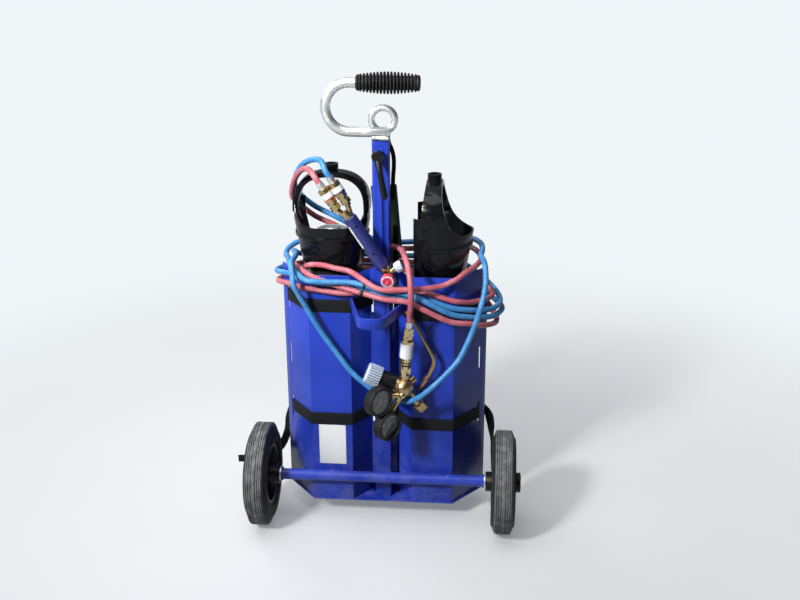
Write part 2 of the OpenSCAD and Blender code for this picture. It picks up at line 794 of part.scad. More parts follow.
card_lean = 4.6;
card_y = 62.5;
card_w = [48, 6, 142];
strap_behind = card_y - strap_t / 2 - 0.1;
card_route = [[11, web_y + 1.05, 757], [11.8, web_y + 1.05, 752], [13.6, 46.5, 745.5], [17, 48, 738],
    [20.5, 51, 722], [20.5, 55, 703], [18.5, strap_behind - 0.5, 682], [18, strap_behind, 662],
    [18, strap_behind, 640]];
module card_strap() {
    slide = [9.5, strap_t, 74];
    color("black") web_tail(smooth_route(card_route, 2), 8, [1, 0, 0]);
    color("gray") translate([18, card_y - slide.y - 0.05, 516]) cube(slide);
}

module card_holder() {
    color("darkgreen") translate([-12, card_y, 522]) rotate([0, -card_lean, 0]) cube(card_w);
}

module data_plate() {
    plate = [52, 0.6, 84];
    color("white") translate([-123, -plate.y, 121]) cube(plate);
}

// ---------- torch ----------

torch_y = -18;
torch_a = [-53, torch_y, 627];
torch_dir = unit([60, 0, -92]);
torch_out = [torch_dir.z * -1, 0, torch_dir.x];
torch_b = torch_a + torch_len * torch_dir;
function torch_at(s, side) = torch_a + s * torch_dir + side * torch_out;

module torch_handle() {
    color("midnightblue") along(torch_a, torch_b) {
        translate([0, 0, 2]) cylinder(d = torch_d, h = torch_len - 4);
        cylinder(d1 = torch_d - 3, d2 = torch_d, h = 2);
        translate([0, 0, torch_len - 2]) cylinder(d1 = torch_d, d2 = torch_d - 3, h = 2);
    }
}

head_len = 26;
module torch_head() {
    color("goldenrod") {
        along(torch_b, torch_b + torch_dir) {
            cylinder(d = 20, h = 8);
            translate([0, 0, 8]) cylinder(d = 17, h = head_len - 8);
            translate([0, 0, head_len]) hexagon(15, 9);
        }
        along(torch_at(torch_len + 14, 0), torch_at(torch_len + 14, 20)) {
            cylinder(d = 10, h = 17);
            cylinder(d = 5, h = 25);
        }
        along(torch_at(torch_len + 17, 0), torch_at(torch_len + 17, 0) + [0, -10, -2]) {
            cylinder(d = 10, h = 16);
            cylinder(d = 5, h = 23);
        }
    }
}

// Twin hose nipples, each this far from the torch's own axis
splay = 10.9;
butt_len = 14;
module torch_butt() {
    color("goldenrod") {
        along(torch_at(-butt_len, 0), torch_a) cylinder(d1 = 15, d2 = 21, h = butt_len);
        for (s = [-1, 1]) {
            along(torch_at(-4, s * 5), torch_at(-butt_len - 10, s * splay)) cylinder(d = 10, h = 19);
            along(valve_end(s, true) - 5 * valve_axis(s), valve_end(s, true)) cylinder(d = 12, h = 5);
        }
    }
}

valve_from = -24;
valve_to = -68;
function valve_end(s, near) = torch_at(near ? valve_from : valve_to, s * splay);
module check_valves() {
    color("goldenrod") for (s = [-1, 1]) along(valve_end(s, true), valve_end(s, false)) {
        hexagon(17, 9);
        translate([0, 0, 9]) cylinder(d = 15, h = 3);
        translate([0, 0, 12]) hexagon(17, 7);
        translate([0, 0, 19]) cylinder(d = 21, h = 25);
    }
}

module knob(d, h, flutes) {
    difference() {
        union() {
            cylinder(d1 = d - 2, d2 = d, h = 1.5);
            translate([0, 0, 1.5]) cylinder(d = d, h = h - 3);
            translate([0, 0, h - 1.5]) cylinder(d1 = d, d2 = d - 2, h = 1.5);
        }
        for (k = [0:flutes - 1]) rotate([0, 0, 360 * k / flutes]) translate([d / 2 + 0.6, 0, -1])
            cylinder(d = 3, h = h + 2, $fn = 16);
        translate([0, 0, -1]) cylinder(d = 5 + 2 * run_gap, h = 9);
    }
}

fuel_from = torch_at(torch_len + 17, 0) + 16.6 * unit([0, -10, -2]);
oxygen_from = torch_at(torch_len + 14, 17.6);
module torch_fuel_knob() {
    color("firebrick") along(fuel_from, fuel_from + [0, -10, -2]) knob(25, 10, 12);
}

module torch_oxygen_knob() {
    color("gainsboro") along(oxygen_from, oxygen_from + torch_out) knob(20, 14, 12);
}

tip_start = torch_at(torch_len + head_len + 9, 0);
tip_route = [tip_start, tip_start + 5 * torch_dir, tip_start + 10 * torch_dir, [39, -14, 481],
    [44, -9, 462], [50, -10, 445], [63, -17, 430], [82, -21, 394], [95, -22.5, 370],
    [99, -23, 358], [98, -23.5, 345], [93, -24, 333], [88, -24, 323]];
module tip_tube() {
    color("goldenrod") tube(smooth_route(tip_route, 3), tip_d, 12);
}

nozzle_dir = unit([-17, 0, -29]);
module torch_nozzle() {
    last = tip_route[len(tip_route) - 1];
    color("peru") along(last + 0.3 * nozzle_dir, last + nozzle_dir * 2) {
        hexagon(11, 9);
        translate([0, 0, 9]) cylinder(d1 = 9, d2 = 6.5, h = 22);
    }
}

// ---------- regulator ----------

reg = [45, -48, 312];
reg_low = [44, -61, 302];
arrestor_dir = unit([11, -2, 129]);
arrestor_from = reg + 19.5 * arrestor_dir;
knob_dir = unit([-0.92, -0.03, 0.39]);
gauge_dir = unit([0.74, -0.67, 0.05]);
gauge_at = [[1.5, -90, 301.5], [17, -80, 248]];
gauge_case_t = 18;
boot_t = 24;
inlet_end = [78, -26, 262];
reg_r = 19;
// Point of a gauge's rim that is nearest to the regulator body
function rim_way(c) = let(v = reg_low - c) unit(v - gauge_dir * (v * gauge_dir));

module regulator_body() {
    color("goldenrod") {
        intersection() {
            translate(reg) sphere(r = reg_r, $fn = 48);
            along(reg - knob_dir * 20, reg) cylinder(r = reg_r + 2, h = 30);
        }
        along(reg, reg + knob_dir) cylinder(r = 14, h = bonnet_from);
        for (c = gauge_at) {
            stem = c + (boot_d / 2 + 5) * rim_way(c);
            along(c + (boot_d / 2 + 0.02) * rim_way(c), c + boot_d * rim_way(c)) hexagon(11, 6);
            along(stem, reg_low) cylinder(d = 10, h = norm(stem - reg_low));
        }
        translate(reg_low) sphere(r = 8, $fn = 32);
        along(reg, inlet_end) {
            cylinder(d = 14, h = norm(inlet_end - reg) - 12);
            translate([0, 0, norm(inlet_end - reg) - 14]) hexagon(22, 16);
        }
        along(reg, reg + [20, 14, 14]) cylinder(d = 15, h = 27);
        along(reg, arrestor_from) cylinder(d = 16, h = 19.5);
    }
}

bonnet_from = 18;
bonnet_len = 28.3;
module regulator_bonnet() {
    color("black") along(reg + bonnet_from * knob_dir, reg + 40 * knob_dir) {
        cylinder(d = 34, h = 12);
        translate([0, 0, 12]) cylinder(d1 = 34, d2 = 31, h = bonnet_len - 12);
    }
}

module adjusting_knob() {
    stem = bonnet_from + bonnet_len + 0.6;
    color("gainsboro") along(reg + stem * knob_dir, reg + (stem + 10) * knob_dir) difference() {
        union() {
            cylinder(d = adjust_d, h = 25);
            translate([0, 0, 25]) cylinder(d1 = adjust_d, d2 = adjust_d - 5, h = 3);
        }
        for (k = [0:23]) rotate([0, 0, 15 * k]) translate([adjust_d / 2 + 0.5, 0, -1])
            cylinder(d = 3.2, h = 24, $fn = 16);
    }
}

gauge_floor = gauge_case_t - 4;
pin_d = 2;
module pressure_gauges() {
    color("gainsboro") for (c = gauge_at) along(c - gauge_dir * gauge_case_t / 2, c) {
        difference() {
            cylinder(d = boot_d - 5, h = gauge_case_t);
            translate([0, 0, gauge_floor]) cylinder(d = boot_d - 9, h = 5);
        }
        cylinder(d = pin_d, h = gauge_floor + 2.4);
    }
}

// Needle at rest against its stop, at the lower left of the dial
needle_rest = [-45, -45];
module gauge_needle(i) {
    color("black") along(gauge_at[i] - gauge_dir * gauge_case_t / 2, gauge_at[i])
        rotate([0, 0, needle_rest[i]]) translate([0, 0, gauge_floor + 0.6]) difference() {
            union() {
                cylinder(d = 6, h = 1.2);
                translate([0, -0.8, 0]) cube([17, 1.6, 0.8]);
                translate([-8, -1.2, 0]) cube([8, 2.4, 0.8]);
            }
            translate([0, 0, -1]) cylinder(d = pin_d + 2 * run_gap, h = 4);
        }
}

module gauge_boots() {
    color("black") for (c = gauge_at) difference() {
        along(c - gauge_dir * (gauge_case_t / 2 + 3), c) {
            cylinder(d1 = boot_d - 10, d2 = boot_d, h = 5);
            translate([0, 0, 5]) cylinder(d = boot_d, h = boot_t - 7);
            translate([0, 0, boot_t - 2]) cylinder(d1 = boot_d, d2 = boot_d - 3, h = 2);
        }
        along(c - gauge_dir * gauge_case_t / 2, c) {
            cylinder(d = boot_d - 5 + 0.02, h = gauge_case_t + 0.01);
            cylinder(d = boot_d - 9, h = boot_t);
        }
    }
}

arrestor_len = 99;
module flashback_arrestor() {
    color("goldenrod") along(arrestor_from, arrestor_from + arrestor_dir) {
        cylinder(d = 19, h = 3);
        translate([0, 0, 3]) cylinder(d = 17, h = 4);
        translate([0, 0, 7]) hexagon(19, 14);
        translate([0, 0, 21]) cylinder(d = 21, h = 17);
        translate([0, 0, 38]) cylinder(d = 24, h = 37);
        translate([0, 0, 75]) cylinder(d1 = 24, d2 = 18, h = 4);
        translate([0, 0, 79]) cylinder(d = 18, h = 6);
        translate([0, 0, 85]) hexagon(17, arrestor_len - 85);
    }
}

ferrule_d = 13.2;
ferrule_len = 12;
arrestor_end = arrestor_from + arrestor_len * arrestor_dir;
hose_start = [valve_end(-1, false), valve_end(1, false)];
oxygen_end = [-bottle_x, bottle_y + valve_outlet, guard_seat_o + outlet_z];
function valve_axis(s) = unit(valve_end(s, false) - valve_end(s, true));
module hose_ferrules() {
    color("silver") {
        for (s = [-1, 1]) along(valve_end(s, false), valve_end(s, false) + valve_axis(s))
            cylinder(d = ferrule_d, h = ferrule_len);
        along(arrestor_end, arrestor_end + arrestor_dir) cylinder(d = ferrule_d, h = ferrule_len);
        along(oxygen_end, oxygen_end + [0, 1, 0]) cylinder(d = ferrule_d, h = ferrule_len);
    }
}

red_from = valve_end(-1, false) + ferrule_len * valve_axis(-1);
blue_from = valve_end(1, false) + ferrule_len * valve_axis(1);
red_to = arrestor_end + ferrule_len * arrestor_dir;
blue_to = oxygen_end + [0, ferrule_len, 0];
// Points the hoses pass through, in the order in which they leave the torch
red_over = [[-126, -4, 709], [-144, 26, 701], [-164, 60, 674], [-176, 95, 636], [-166, 119, 612],
    [-138, 124, 588], [-103, 125, 572], [-70, 132, 552], [-42, 148, 528], [0, 160, 515], [60, 160, 516],
    [110, 158, 522],
    [155, 140, 528], [176, 100, 530], [182, 66, 527]];
red_first = [[173, 38, 523], [154, 8, 518], [136, -8, 509], [110, -20, 501], [75, -40, 502],
    [39, -50, 503], [11, -53, 503],
    [-8, -50, 508], [-26, -40, 516], [-54, -16, 524], [-82, -10, 528], [-112, 4, 529], [-139, 22, 521],
    [-150, 42, 504],
    [-165, 75, 496], [-162, 105, 486], [-148, 136, 478], [-110, 154, 474], [-60, 156, 474], [0, 156, 472],
    [60, 156, 470], [97, 157, 466], [140, 146, 455], [185, 118, 435], [210, 86, 412]];
red_second = [[214, 58, 408], [206, 30, 412], [183, -4, 421], [165, -18, 429], [129, -33, 438],
    [84, -44, 463],
    [62, -45, 475], [46, -49, 481], [28, -50, 483], [13, -49, 484], [-30, -36, 490], [-67, -22, 495],
    [-104, -18, 506],
    [-131, -14, 516], [-149, 12, 518], [-160, 34, 518], [-171, 64, 508], [-184, 92, 499], [-176, 120, 492],
    [-150, 150, 489], [-110, 166, 488], [-60, 164, 488], [0, 164, 487], [60, 164, 485], [110, 162, 480],
    [160, 142, 470], [196, 104, 459]];
red_third = [[205, 72, 455], [189, 40, 456], [164, 12, 460], [142, -6, 467], [128, -9, 471],
    [92, -10, 482], [70, -9, 487],
    [40, -5, 489], [0, -4, 486], [-41, -14, 483], [-74, -15, 482], [-111, -8, 484], [-149, -6, 489],
    [-172, 25, 484], [-202, 66, 475], [-200, 96, 472], [-176, 128, 466], [-140, 154, 461], [-97, 162, 460],
    [-58, 152, 460], [-22, 132, 476], [-14, 118, 500], [-23, 98, 521], [-30, 80, 534], [-27, 66, 541]];
red_drop = [[-14, 53, 547], [4, 52, 550], [19, 51, 552], [34, 34, 553], [40, 8, 556], [46, -18, 555],
    [53, -42, 546], [58, -58, 528], [60, -64, 507], [60.5, -64, 490], [59.5, -60.5, 474]];
blue_over = [[-105, -4, 726], [-130, 22, 719], [-153, 58, 697], [-170, 92, 662], [-166, 118, 634],
    [-140, 124, 609],
    [-108, 125, 592], [-75, 132, 572], [-48, 140, 550], [-20, 152, 532], [25, 156, 529], [70, 158, 532],
    [115, 156, 538], [158, 138, 546], [180, 100, 548], [184, 66, 545], [182, 40, 542]];
blue_hang = [[189, 12, 536], [192, -10, 514], [190, -24, 490], [183, -34, 463], [171, -38, 424],
    [149, -50, 375],
    [123, -62, 345], [97, -68, 320], [75, -61, 298], [56, -50, 284], [44, -41, 280], [28, -34, 279],
    [8, -29, 281], [-20, -26, 299], [-48, -20, 320], [-67, -18, 342], [-112, -18, 409], [-141, -24, 466],
    [-155, -34, 501], [-158, -28, 518], [-164, -4, 534], [-162, 30, 537], [-168, 65, 534], [-176, 96, 526]];
blue_first = [[-170, 124, 512], [-146, 152, 504], [-105, 164, 502], [-60, 162, 501], [0, 160, 500],
    [60, 160, 500],
    [110, 170, 497], [160, 158, 480], [205, 118, 455], [220, 88, 441], [214, 58, 438], [198, 30, 440],
    [165, -2, 450], [128, -19, 460], [90, -26, 476], [65, -31, 480], [38, -33, 482], [12, -30, 487],
    [-12, -28, 491], [-40, -16, 496], [-74, -7, 494], [-111, -7, 497], [-149, -7, 505], [-172, 26, 503],
    [-202, 64, 495]];
blue_second = [[-207, 84, 492], [-200, 110, 489], [-186, 134, 486], [-160, 160, 480], [-110, 172, 475],
    [-60, 172, 475], [0, 172, 474], [60, 172, 472], [110, 170, 464], [164, 156, 448], [210, 116, 430],
    [224, 84, 426], [218, 58, 424], [206, 34, 426], [183, 8, 432], [165, -8, 438], [129, -28, 451],
    [84, -42, 479], [60, -41, 489], [39, -40, 493], [12, -41, 497], [-25, -35, 504], [-53, -30, 508],
    [-91, -30, 508], [-130, -31, 510], [-154, -10, 518], [-172, 22, 523], [-178, 50, 522], [-186, 80, 518]];
blue_tail = [[-194, 106, 517], [-192, 136, 521], [-172, 160, 528], [-142, 168, 535], [-113, 154, 541]];
hose_end = hose_d;
red_route = concat([for (k = [0:2]) red_from + k * hose_end / 2 * valve_axis(-1)], red_over, red_first,
    red_second, red_third, red_drop, [for (k = [2:-1:0]) red_to + k * hose_end / 2 * arrestor_dir]);
blue_route = concat([for (k = [0:2]) blue_from + k * hose_end / 2 * valve_axis(1)], blue_over, blue_hang,
    blue_first, blue_second, blue_tail, [for (k = [2:-1:0]) blue_to + [0, k * hose_end / 2, 0]]);
hose_steps = 2;
// Least distance between the middle lines of rings that are more than a few rings apart
function near(p, q) = min([for (i = [0:len(p) - 1]) min([for (j = [0:len(q) - 1])
    (p == q && abs(i - j) < 6) ? 1000 : norm(p[i] - q[j])])]);
function length_of(p, i = 1, l = 0) = i >= len(p) ? l : length_of(p, i + 1, l + norm(p[i] - p[i - 1]));
red_line = smooth_route(red_route, hose_steps);
blue_line = smooth_route(blue_route, hose_steps);
echo(red_gap = near(red_line, red_line) - hose_d, blue_gap = near(blue_line, blue_line) - hose_d,
    twin_gap = near(red_line, blue_line) - hose_d);
echo(red_length = length_of(red_line), blue_length = length_of(blue_line));

module red_hose() {
    color("indianred") tube(red_line, hose_d, 8);
}

module blue_hose() {
    color("steelblue") tube(blue_line, hose_d, 8);
}

// Ties where strands lie side by side, each at a point of its hose's route
red_ties = [[-30, -36, 490], [-41, -14, 483]];
blue_ties = [[-25, -35, 504]];
tie_w = 4;
module tie(route, at) {
    i = [for (k = [0:len(route) - 1]) if (route[k] == at) k][0];
    way = unit(route[i + 1] - route[i - 1]);
    along(at - way * tie_w / 2, at) ring(hose_d + 2.1, hose_d + 0.7, tie_w);
}

module hose_ties() {
    color("black") {
        for (t = red_ties) tie(red_route, t);
        for (t = blue_ties) tie(blue_route, t);
    }
}

// ---------- drawing ----------

placed() {
    back_sheet();
    base_plate();
    front_foot();
    foot_pad();
    mast_tube();
    hose_bracket();
    axle_tube();
    axle_rod();
    axle_washers();
    axle_clips();
    tyre(-1);  // tyre_left
    tyre(1);  // tyre_right
    rim(-1);  // rim_left
    rim(1);  // rim_right
    wheel_bush(-1);  // wheel_bush_left
    wheel_bush(1);  // wheel_bush_right
    hub_cap(-1);  // hub_cap_left
    hub_cap(1);  // hub_cap_right
    handle_frame();
    handle_grip();
    lifting_eye();
    eye_nut();
    clamp_nut();
    clamp_stud();
    clamp_lever();
    clamp_cap();
    oxygen_bottle();
    acetylene_bottle();
    oxygen_guard();
    acetylene_guard();
    oxygen_valve();
    acetylene_valve();
    oxygen_handwheel();
    acetylene_handwheel();
    bottle_straps();
    strap_buckles();
    strap_tails();
    card_strap();
    card_holder();
    data_plate();
    torch_handle();
    torch_head();
    torch_butt();
    check_valves();
    torch_fuel_knob();
    torch_oxygen_knob();
    tip_tube();
    torch_nozzle();
    regulator_body();
    regulator_bonnet();
    adjusting_knob();
    pressure_gauges();
    gauge_needle(0);  // gauge_needle_upper
    gauge_needle(1);  // gauge_needle_lower
    gauge_boots();
    flashback_arrestor();
    hose_ferrules();
    hose_ties();
    red_hose();
    blue_hose();
}
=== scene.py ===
import math
import random

import bmesh
import bpy
import numpy as np
from mathutils import Matrix, Quaternion, Vector


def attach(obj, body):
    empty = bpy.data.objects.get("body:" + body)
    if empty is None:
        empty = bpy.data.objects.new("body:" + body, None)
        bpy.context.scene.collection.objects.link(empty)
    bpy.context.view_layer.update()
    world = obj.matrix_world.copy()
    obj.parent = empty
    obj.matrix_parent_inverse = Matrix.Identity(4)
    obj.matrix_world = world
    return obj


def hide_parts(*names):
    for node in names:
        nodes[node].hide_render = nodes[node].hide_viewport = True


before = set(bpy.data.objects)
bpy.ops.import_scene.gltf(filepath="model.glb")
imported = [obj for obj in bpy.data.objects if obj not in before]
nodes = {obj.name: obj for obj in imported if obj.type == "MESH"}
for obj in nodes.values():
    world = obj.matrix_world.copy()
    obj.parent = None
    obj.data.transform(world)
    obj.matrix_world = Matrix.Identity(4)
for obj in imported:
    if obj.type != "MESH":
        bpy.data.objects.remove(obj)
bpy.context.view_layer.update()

# From the back sheet's outer face to the frame's origin, in millimetres
FOOT = 125.0
# The axle's y and z in the frame, in metres
AXLE = (-0.13565, 0.1)
# The camera's place and lens in millimetres, and its yaw, pitch and roll in degrees
CAMERA_AT, CAMERA_TURNS = (193.07, -1857.94, 1151.31), (-4.85, 20.19, -0.23)
SENSOR, FOCAL = 36, 48.56


def cart(p):
    """A point of the cart's drawing, in millimetres, as a point of the frame."""
    return Vector((p[0] / 1000, (p[1] - FOOT) / 1000, p[2] / 1000))


def unit(v):
    v = np.array(v, float)
    return v / np.linalg.norm(v)


def put(name, data):
    made = bpy.data.objects.new(name, data)
    bpy.context.scene.collection.objects.link(made)
    return made


# ---------- camera ----------

def make_camera():
    lens = bpy.data.cameras.new("camera")
    lens.sensor_width = SENSOR
    lens.lens = FOCAL
    camera = put("camera", lens)
    yaw, pitch, roll = [math.radians(a) for a in CAMERA_TURNS]
    forward = Vector((math.sin(yaw) * math.cos(pitch), math.cos(yaw) * math.cos(pitch), -math.sin(pitch)))
    camera.rotation_mode = "QUATERNION"
    camera.rotation_quaternion = forward.to_track_quat("-Z", "Y") @ Quaternion((0, 0, 1), roll)
    camera.location = cart(CAMERA_AT)
    lens.clip_start, lens.clip_end = 0.05, 60
    bpy.context.scene.camera = camera


make_camera()


# ---------- finishes ----------

def toned(colour, by, more=0.0):
    return tuple(min(1, c * by + more) for c in colour)


def mix_shaders(tree, share, first, second, out):
    blend = tree.nodes.new("ShaderNodeMixShader")
    for socket, source in enumerate((share, first, second)):
        tree.links.new(source, blend.inputs[socket])
    tree.links.new(blend.outputs[0], out.inputs[0])


class Value:
    """One output in a finish. Arithmetic on it adds Math nodes."""

    def __init__(self, finish, socket):
        self.finish, self.socket = finish, socket

    def sum(self, how, a, b):
        return self.finish.node("ShaderNodeMath", {"operation": how}, [a, b])

    def __add__(self, other):
        return self.sum("ADD", self, other)

    def __sub__(self, other):
        return self.sum("SUBTRACT", self, other)

    def __rsub__(self, other):
        return self.sum("SUBTRACT", other, self)

    def __mul__(self, other):
        return self.sum("MULTIPLY", self, other)

    def __pow__(self, other):
        return self.sum("POWER", self, other)

    def __gt__(self, other):
        return self.sum("GREATER_THAN", self, other)

    __radd__ = __add__
    __rmul__ = __mul__

    def between(self, low, high):
        """0 below low, 1 above high, and smooth between them."""
        how = {"interpolation_type": "SMOOTHSTEP"}
        return self.finish.node("ShaderNodeMapRange", how, {0: self, 1: low, 2: high})

    def wave(self):
        return self.sum("SINE", self, 0.0)


class Finish:
    """A material on one Principled shader."""

    def __init__(self, name, colour, roughness, metallic=0.0, **fixed):
        self.mat = bpy.data.materials.new(name)
        self.mat.use_nodes = True
        self.tree = self.mat.node_tree
        self.tree.nodes.clear()
        out = self.tree.nodes.new("ShaderNodeOutputMaterial")
        self.shader = self.tree.nodes.new("ShaderNodeBsdfPrincipled")
        self.tree.links.new(self.shader.outputs[0], out.inputs[0])
        self.set("Base Color", (*colour, 1.0))
        self.set("Roughness", roughness)
        self.set("Metallic", metallic)
        for key, value in fixed.items():
            self.set(key.replace("_", " "), value)
        self.place = None

    def set(self, socket, value):
        if isinstance(value, Value):
            self.tree.links.new(value.socket, self.shader.inputs[socket])
        else:
            self.shader.inputs[socket].default_value = value

    def node(self, kind, settings, values, output=0):
        n = self.tree.nodes.new(kind)
        for key, value in settings.items():
            setattr(n, key, value)
        pairs = values.items() if isinstance(values, dict) else enumerate(values)
        for key, value in pairs:
            if isinstance(value, Value):
                self.tree.links.new(value.socket, n.inputs[key])
            else:
                n.inputs[key].default_value = value
        return Value(self, n.outputs[output])

    def spot(self):
        """Where a point is, in metres."""
        if self.place is None:
            self.place = self.node("ShaderNodeTexCoord", {}, {}, 3)
        return self.place

    def stretched(self, x, y, z):
        """The same place, with its own scale along each axis."""
        how = {"operation": "MULTIPLY"}
        return self.node("ShaderNodeVectorMath", how, [self.spot(), (x, y, z)])

    def noise(self, scale, detail=3.0, rough=0.55, at=None):
        at = at or self.spot()
        return self.node("ShaderNodeTexNoise", {}, {"Vector": at, "Scale": scale, "Detail": detail,
                                                    "Roughness": rough})

    def cells(self, scale, output=0):
        return self.node("ShaderNodeTexVoronoi", {}, {"Vector": self.spot(), "Scale": scale}, output)

    def axis(self, k):
        return self.node("ShaderNodeSeparateXYZ", {}, [self.spot()], k)

    def uv(self, k):
        return self.node("ShaderNodeSeparateXYZ", {}, [self.node("ShaderNodeTexCoord", {}, {}, 2)], k)

    def mix(self, a, b, share):
        a, b = [c if isinstance(c, Value) else (*c, 1.0) for c in (a, b)]
        return self.node("ShaderNodeMix", {"data_type": "RGBA"}, {0: share, 6: a, 7: b}, 2)

    def bump(self, height, depth, strength=1.0):
        values = {"Strength": strength, "Distance": depth, "Height": height}
        self.set("Normal", self.node("ShaderNodeBump", {}, values))


def powder_coat(name, colour, rough=0.33):
    """Baked coat with orange peel, rubbed patches, a few chips and dust low down."""
    f = Finish(name, colour, rough, Coat_Weight=0.2, Coat_Roughness=0.09, Specular_IOR_Level=0.2)
    slow = f.noise(7, 2)
    patch = f.noise(34, 4).between(0.42, 0.66)
    rub = f.noise(1, 4, 0.7, f.stretched(210, 210, 26)).between(0.66, 0.74)
    chip = (f.noise(160, 2) > 0.745) * f.noise(13, 1).between(0.52, 0.6)
    dust = (1 - f.axis(2).between(0.03, 0.22)) * f.noise(45, 4).between(0.35, 0.75)
    dark = toned(colour, 0.78)
    light = toned(colour, 1.12, 0.003)
    shade = f.mix(dark, light, slow.between(0.3, 0.7))
    shade = f.mix(shade, toned(colour, 0.9, 0.03), rub * 0.35)
    shade = f.mix(shade, (0.34, 0.33, 0.31), dust * 0.16)
    shade = f.mix(shade, (0.28, 0.27, 0.26), chip * 0.85)
    f.set("Base Color", shade)
    f.set("Roughness", rough + patch * 0.07 + rub * 0.16 + dust * 0.2 + chip * 0.3)
    f.bump(f.noise(520, 2, 0.4) - chip * 1.4 - rub * 0.2, 0.00009)
    return f.mat


def zinc(name, colour=(0.84, 0.87, 0.87), rough=0.27):
    """Bright zinc plate: faint spangle, drawing lines and dull white bloom."""
    f = Finish(name, colour, rough, 1.0)
    spangle = f.cells(140, 1)
    grey = f.node("ShaderNodeRGBToBW", {}, [spangle])
    bloom = f.noise(26, 5, 0.65).between(0.5, 0.72)
    stain = f.noise(1, 5, 0.7, f.stretched(60, 60, 60)).between(0.5, 0.68)
    lines = f.noise(1, 2, 0.5, f.stretched(1400, 1400, 60))
    shade = f.mix(colour, toned(colour, 0.8), grey * 0.5)
    shade = f.mix(shade, (0.62, 0.65, 0.63), bloom * 0.5)
    shade = f.mix(shade, (0.17, 0.18, 0.17), stain * 0.45)
    f.set("Base Color", shade)
    f.set("Roughness", rough + bloom * 0.22 + grey * 0.08 + lines * 0.05 + stain * 0.12)
    f.set("Metallic", 0.92 - bloom * 0.3)
    f.bump(lines + grey * 0.3, 0.00004)
    return f.mat


def brass(name, colour=(0.76, 0.58, 0.31), rough=0.16):
    """Turned brass with brown tarnish, finger marks and fine tool lines."""
    f = Finish(name, colour, rough, 1.0)
    tarnish = f.noise(55, 5, 0.65).between(0.45, 0.72)
    spots = f.noise(330, 3).between(0.62, 0.74)
    rings = f.noise(1, 1, 0.5, f.stretched(900, 900, 2600))
    shade = f.mix(colour, (0.30, 0.20, 0.09), tarnish * 0.6)
    shade = f.mix(shade, (0.10, 0.07, 0.04), spots * 0.6)
    f.set("Base Color", shade)
    f.set("Roughness", rough + tarnish * 0.13 + spots * 0.2)
    f.set("Metallic", 1 - spots * 0.4)
    f.bump(rings * 0.6 + tarnish, 0.00005)
    return f.mat


def moulded(name, colour, rough=0.42, grain=420, depth=0.00012, wear=0.02, coat=0.0, spec=0.22):
    """Moulded plastic: spark-eroded grain, flow marks and pale scuffs."""
    f = Finish(name, colour, rough, Specular_IOR_Level=spec, Coat_Weight=coat, Coat_Roughness=0.06)
    flow = f.noise(12, 3).between(0.35, 0.7)
    scuff = f.noise(1, 4, 0.7, f.stretched(190, 60, 120)).between(0.64, 0.75)
    pale = toned(colour, 1, wear)
    shade = f.mix(colour, toned(colour, 1.3, 0.001), flow * 0.6)
    f.set("Base Color", f.mix(shade, pale, scuff * 0.5))
    f.set("Roughness", rough + flow * 0.08 + scuff * 0.18)
    f.bump(f.noise(grain, 3, 0.6) - scuff * 0.3, depth)
    return f.mat


def rubber(name, colour=(0.008, 0.008, 0.0085), rough=0.5, dust=0.4):
    """Rubber with mould bloom, and dust that gathers low down and in patches."""
    f = Finish(name, colour, rough, Specular_IOR_Level=0.22)
    bloom = f.noise(60, 5, 0.65).between(0.4, 0.75)
    specks = f.noise(620, 2).between(0.6, 0.72)
    f.set("Base Color", f.mix(f.mix(colour, (0.06, 0.06, 0.06), bloom * dust * 0.55), (0.13, 0.125, 0.12),
                              specks * dust * 0.4))
    f.set("Roughness", rough + bloom * 0.2 + specks * 0.1)
    f.bump(f.noise(900, 3) + bloom * 0.6, 0.0001)
    return f.mat


def tread_rubber(name):
    """Solid tyre: grey-black with floor dust rubbed into the tread and round marks on its walls."""
    f = Finish(name, (0.02, 0.02, 0.021), 0.66, Specular_IOR_Level=0.2)
    up = f.axis(2) - AXLE[1]
    back = f.axis(1) - AXLE[0]
    reach = (up * up + back * back) ** 0.5
    tread = reach.between(0.0935, 0.0975)
    turned = f.node("ShaderNodeCombineXYZ", {}, [reach * 900, f.axis(0) * 300, reach * 500])
    marks = f.noise(1, 3, 0.6, turned)
    worn = f.noise(75, 5, 0.7).between(0.34, 0.7)
    dusty = tread * (0.35 + worn * 0.65)
    shade = f.mix((0.009, 0.009, 0.01), (0.035, 0.035, 0.036), marks.between(0.4, 0.7))
    shade = f.mix(shade, (0.26, 0.265, 0.27), dusty * 0.75)
    f.set("Base Color", f.mix(shade, (0.16, 0.155, 0.15), f.noise(300, 3).between(0.6, 0.72) * 0.35))
    f.set("Roughness", 0.6 + dusty * 0.25 + marks * 0.08)
    f.bump(f.noise(500, 4, 0.7) + marks * 0.7, 0.00025)
    return f.mat


def hose_rubber(name, colour, pale):
    """Fabric-wrapped hose: the wrap's fine slanting print, worn places and handling dirt."""
    f = Finish(name, colour, 0.44, Specular_IOR_Level=0.42)
    pitch, slant = 4200, 25.13
    along, round_ = f.uv(0), f.uv(1)
    wrap = (along * pitch + round_ * slant).wave() * 0.5 + 0.5
    cross = (along * pitch - round_ * slant).wave() * 0.5 + 0.5
    worn = f.noise(48, 4, 0.6).between(0.38, 0.7)
    dirt = f.noise(110, 5, 0.7).between(0.58, 0.74)
    shade = f.mix(colour, pale, worn * 0.65)
    shade = f.mix(shade, toned(colour, 0.4), dirt * 0.55)
    f.set("Base Color", f.mix(shade, toned(colour, 0.8), (wrap * cross) * 0.25))
    f.set("Roughness", 0.38 + worn * 0.14 + dirt * 0.15)
    f.bump(wrap * 0.5 + cross * 0.5 + worn * 0.4, 0.00007)
    return f.mat


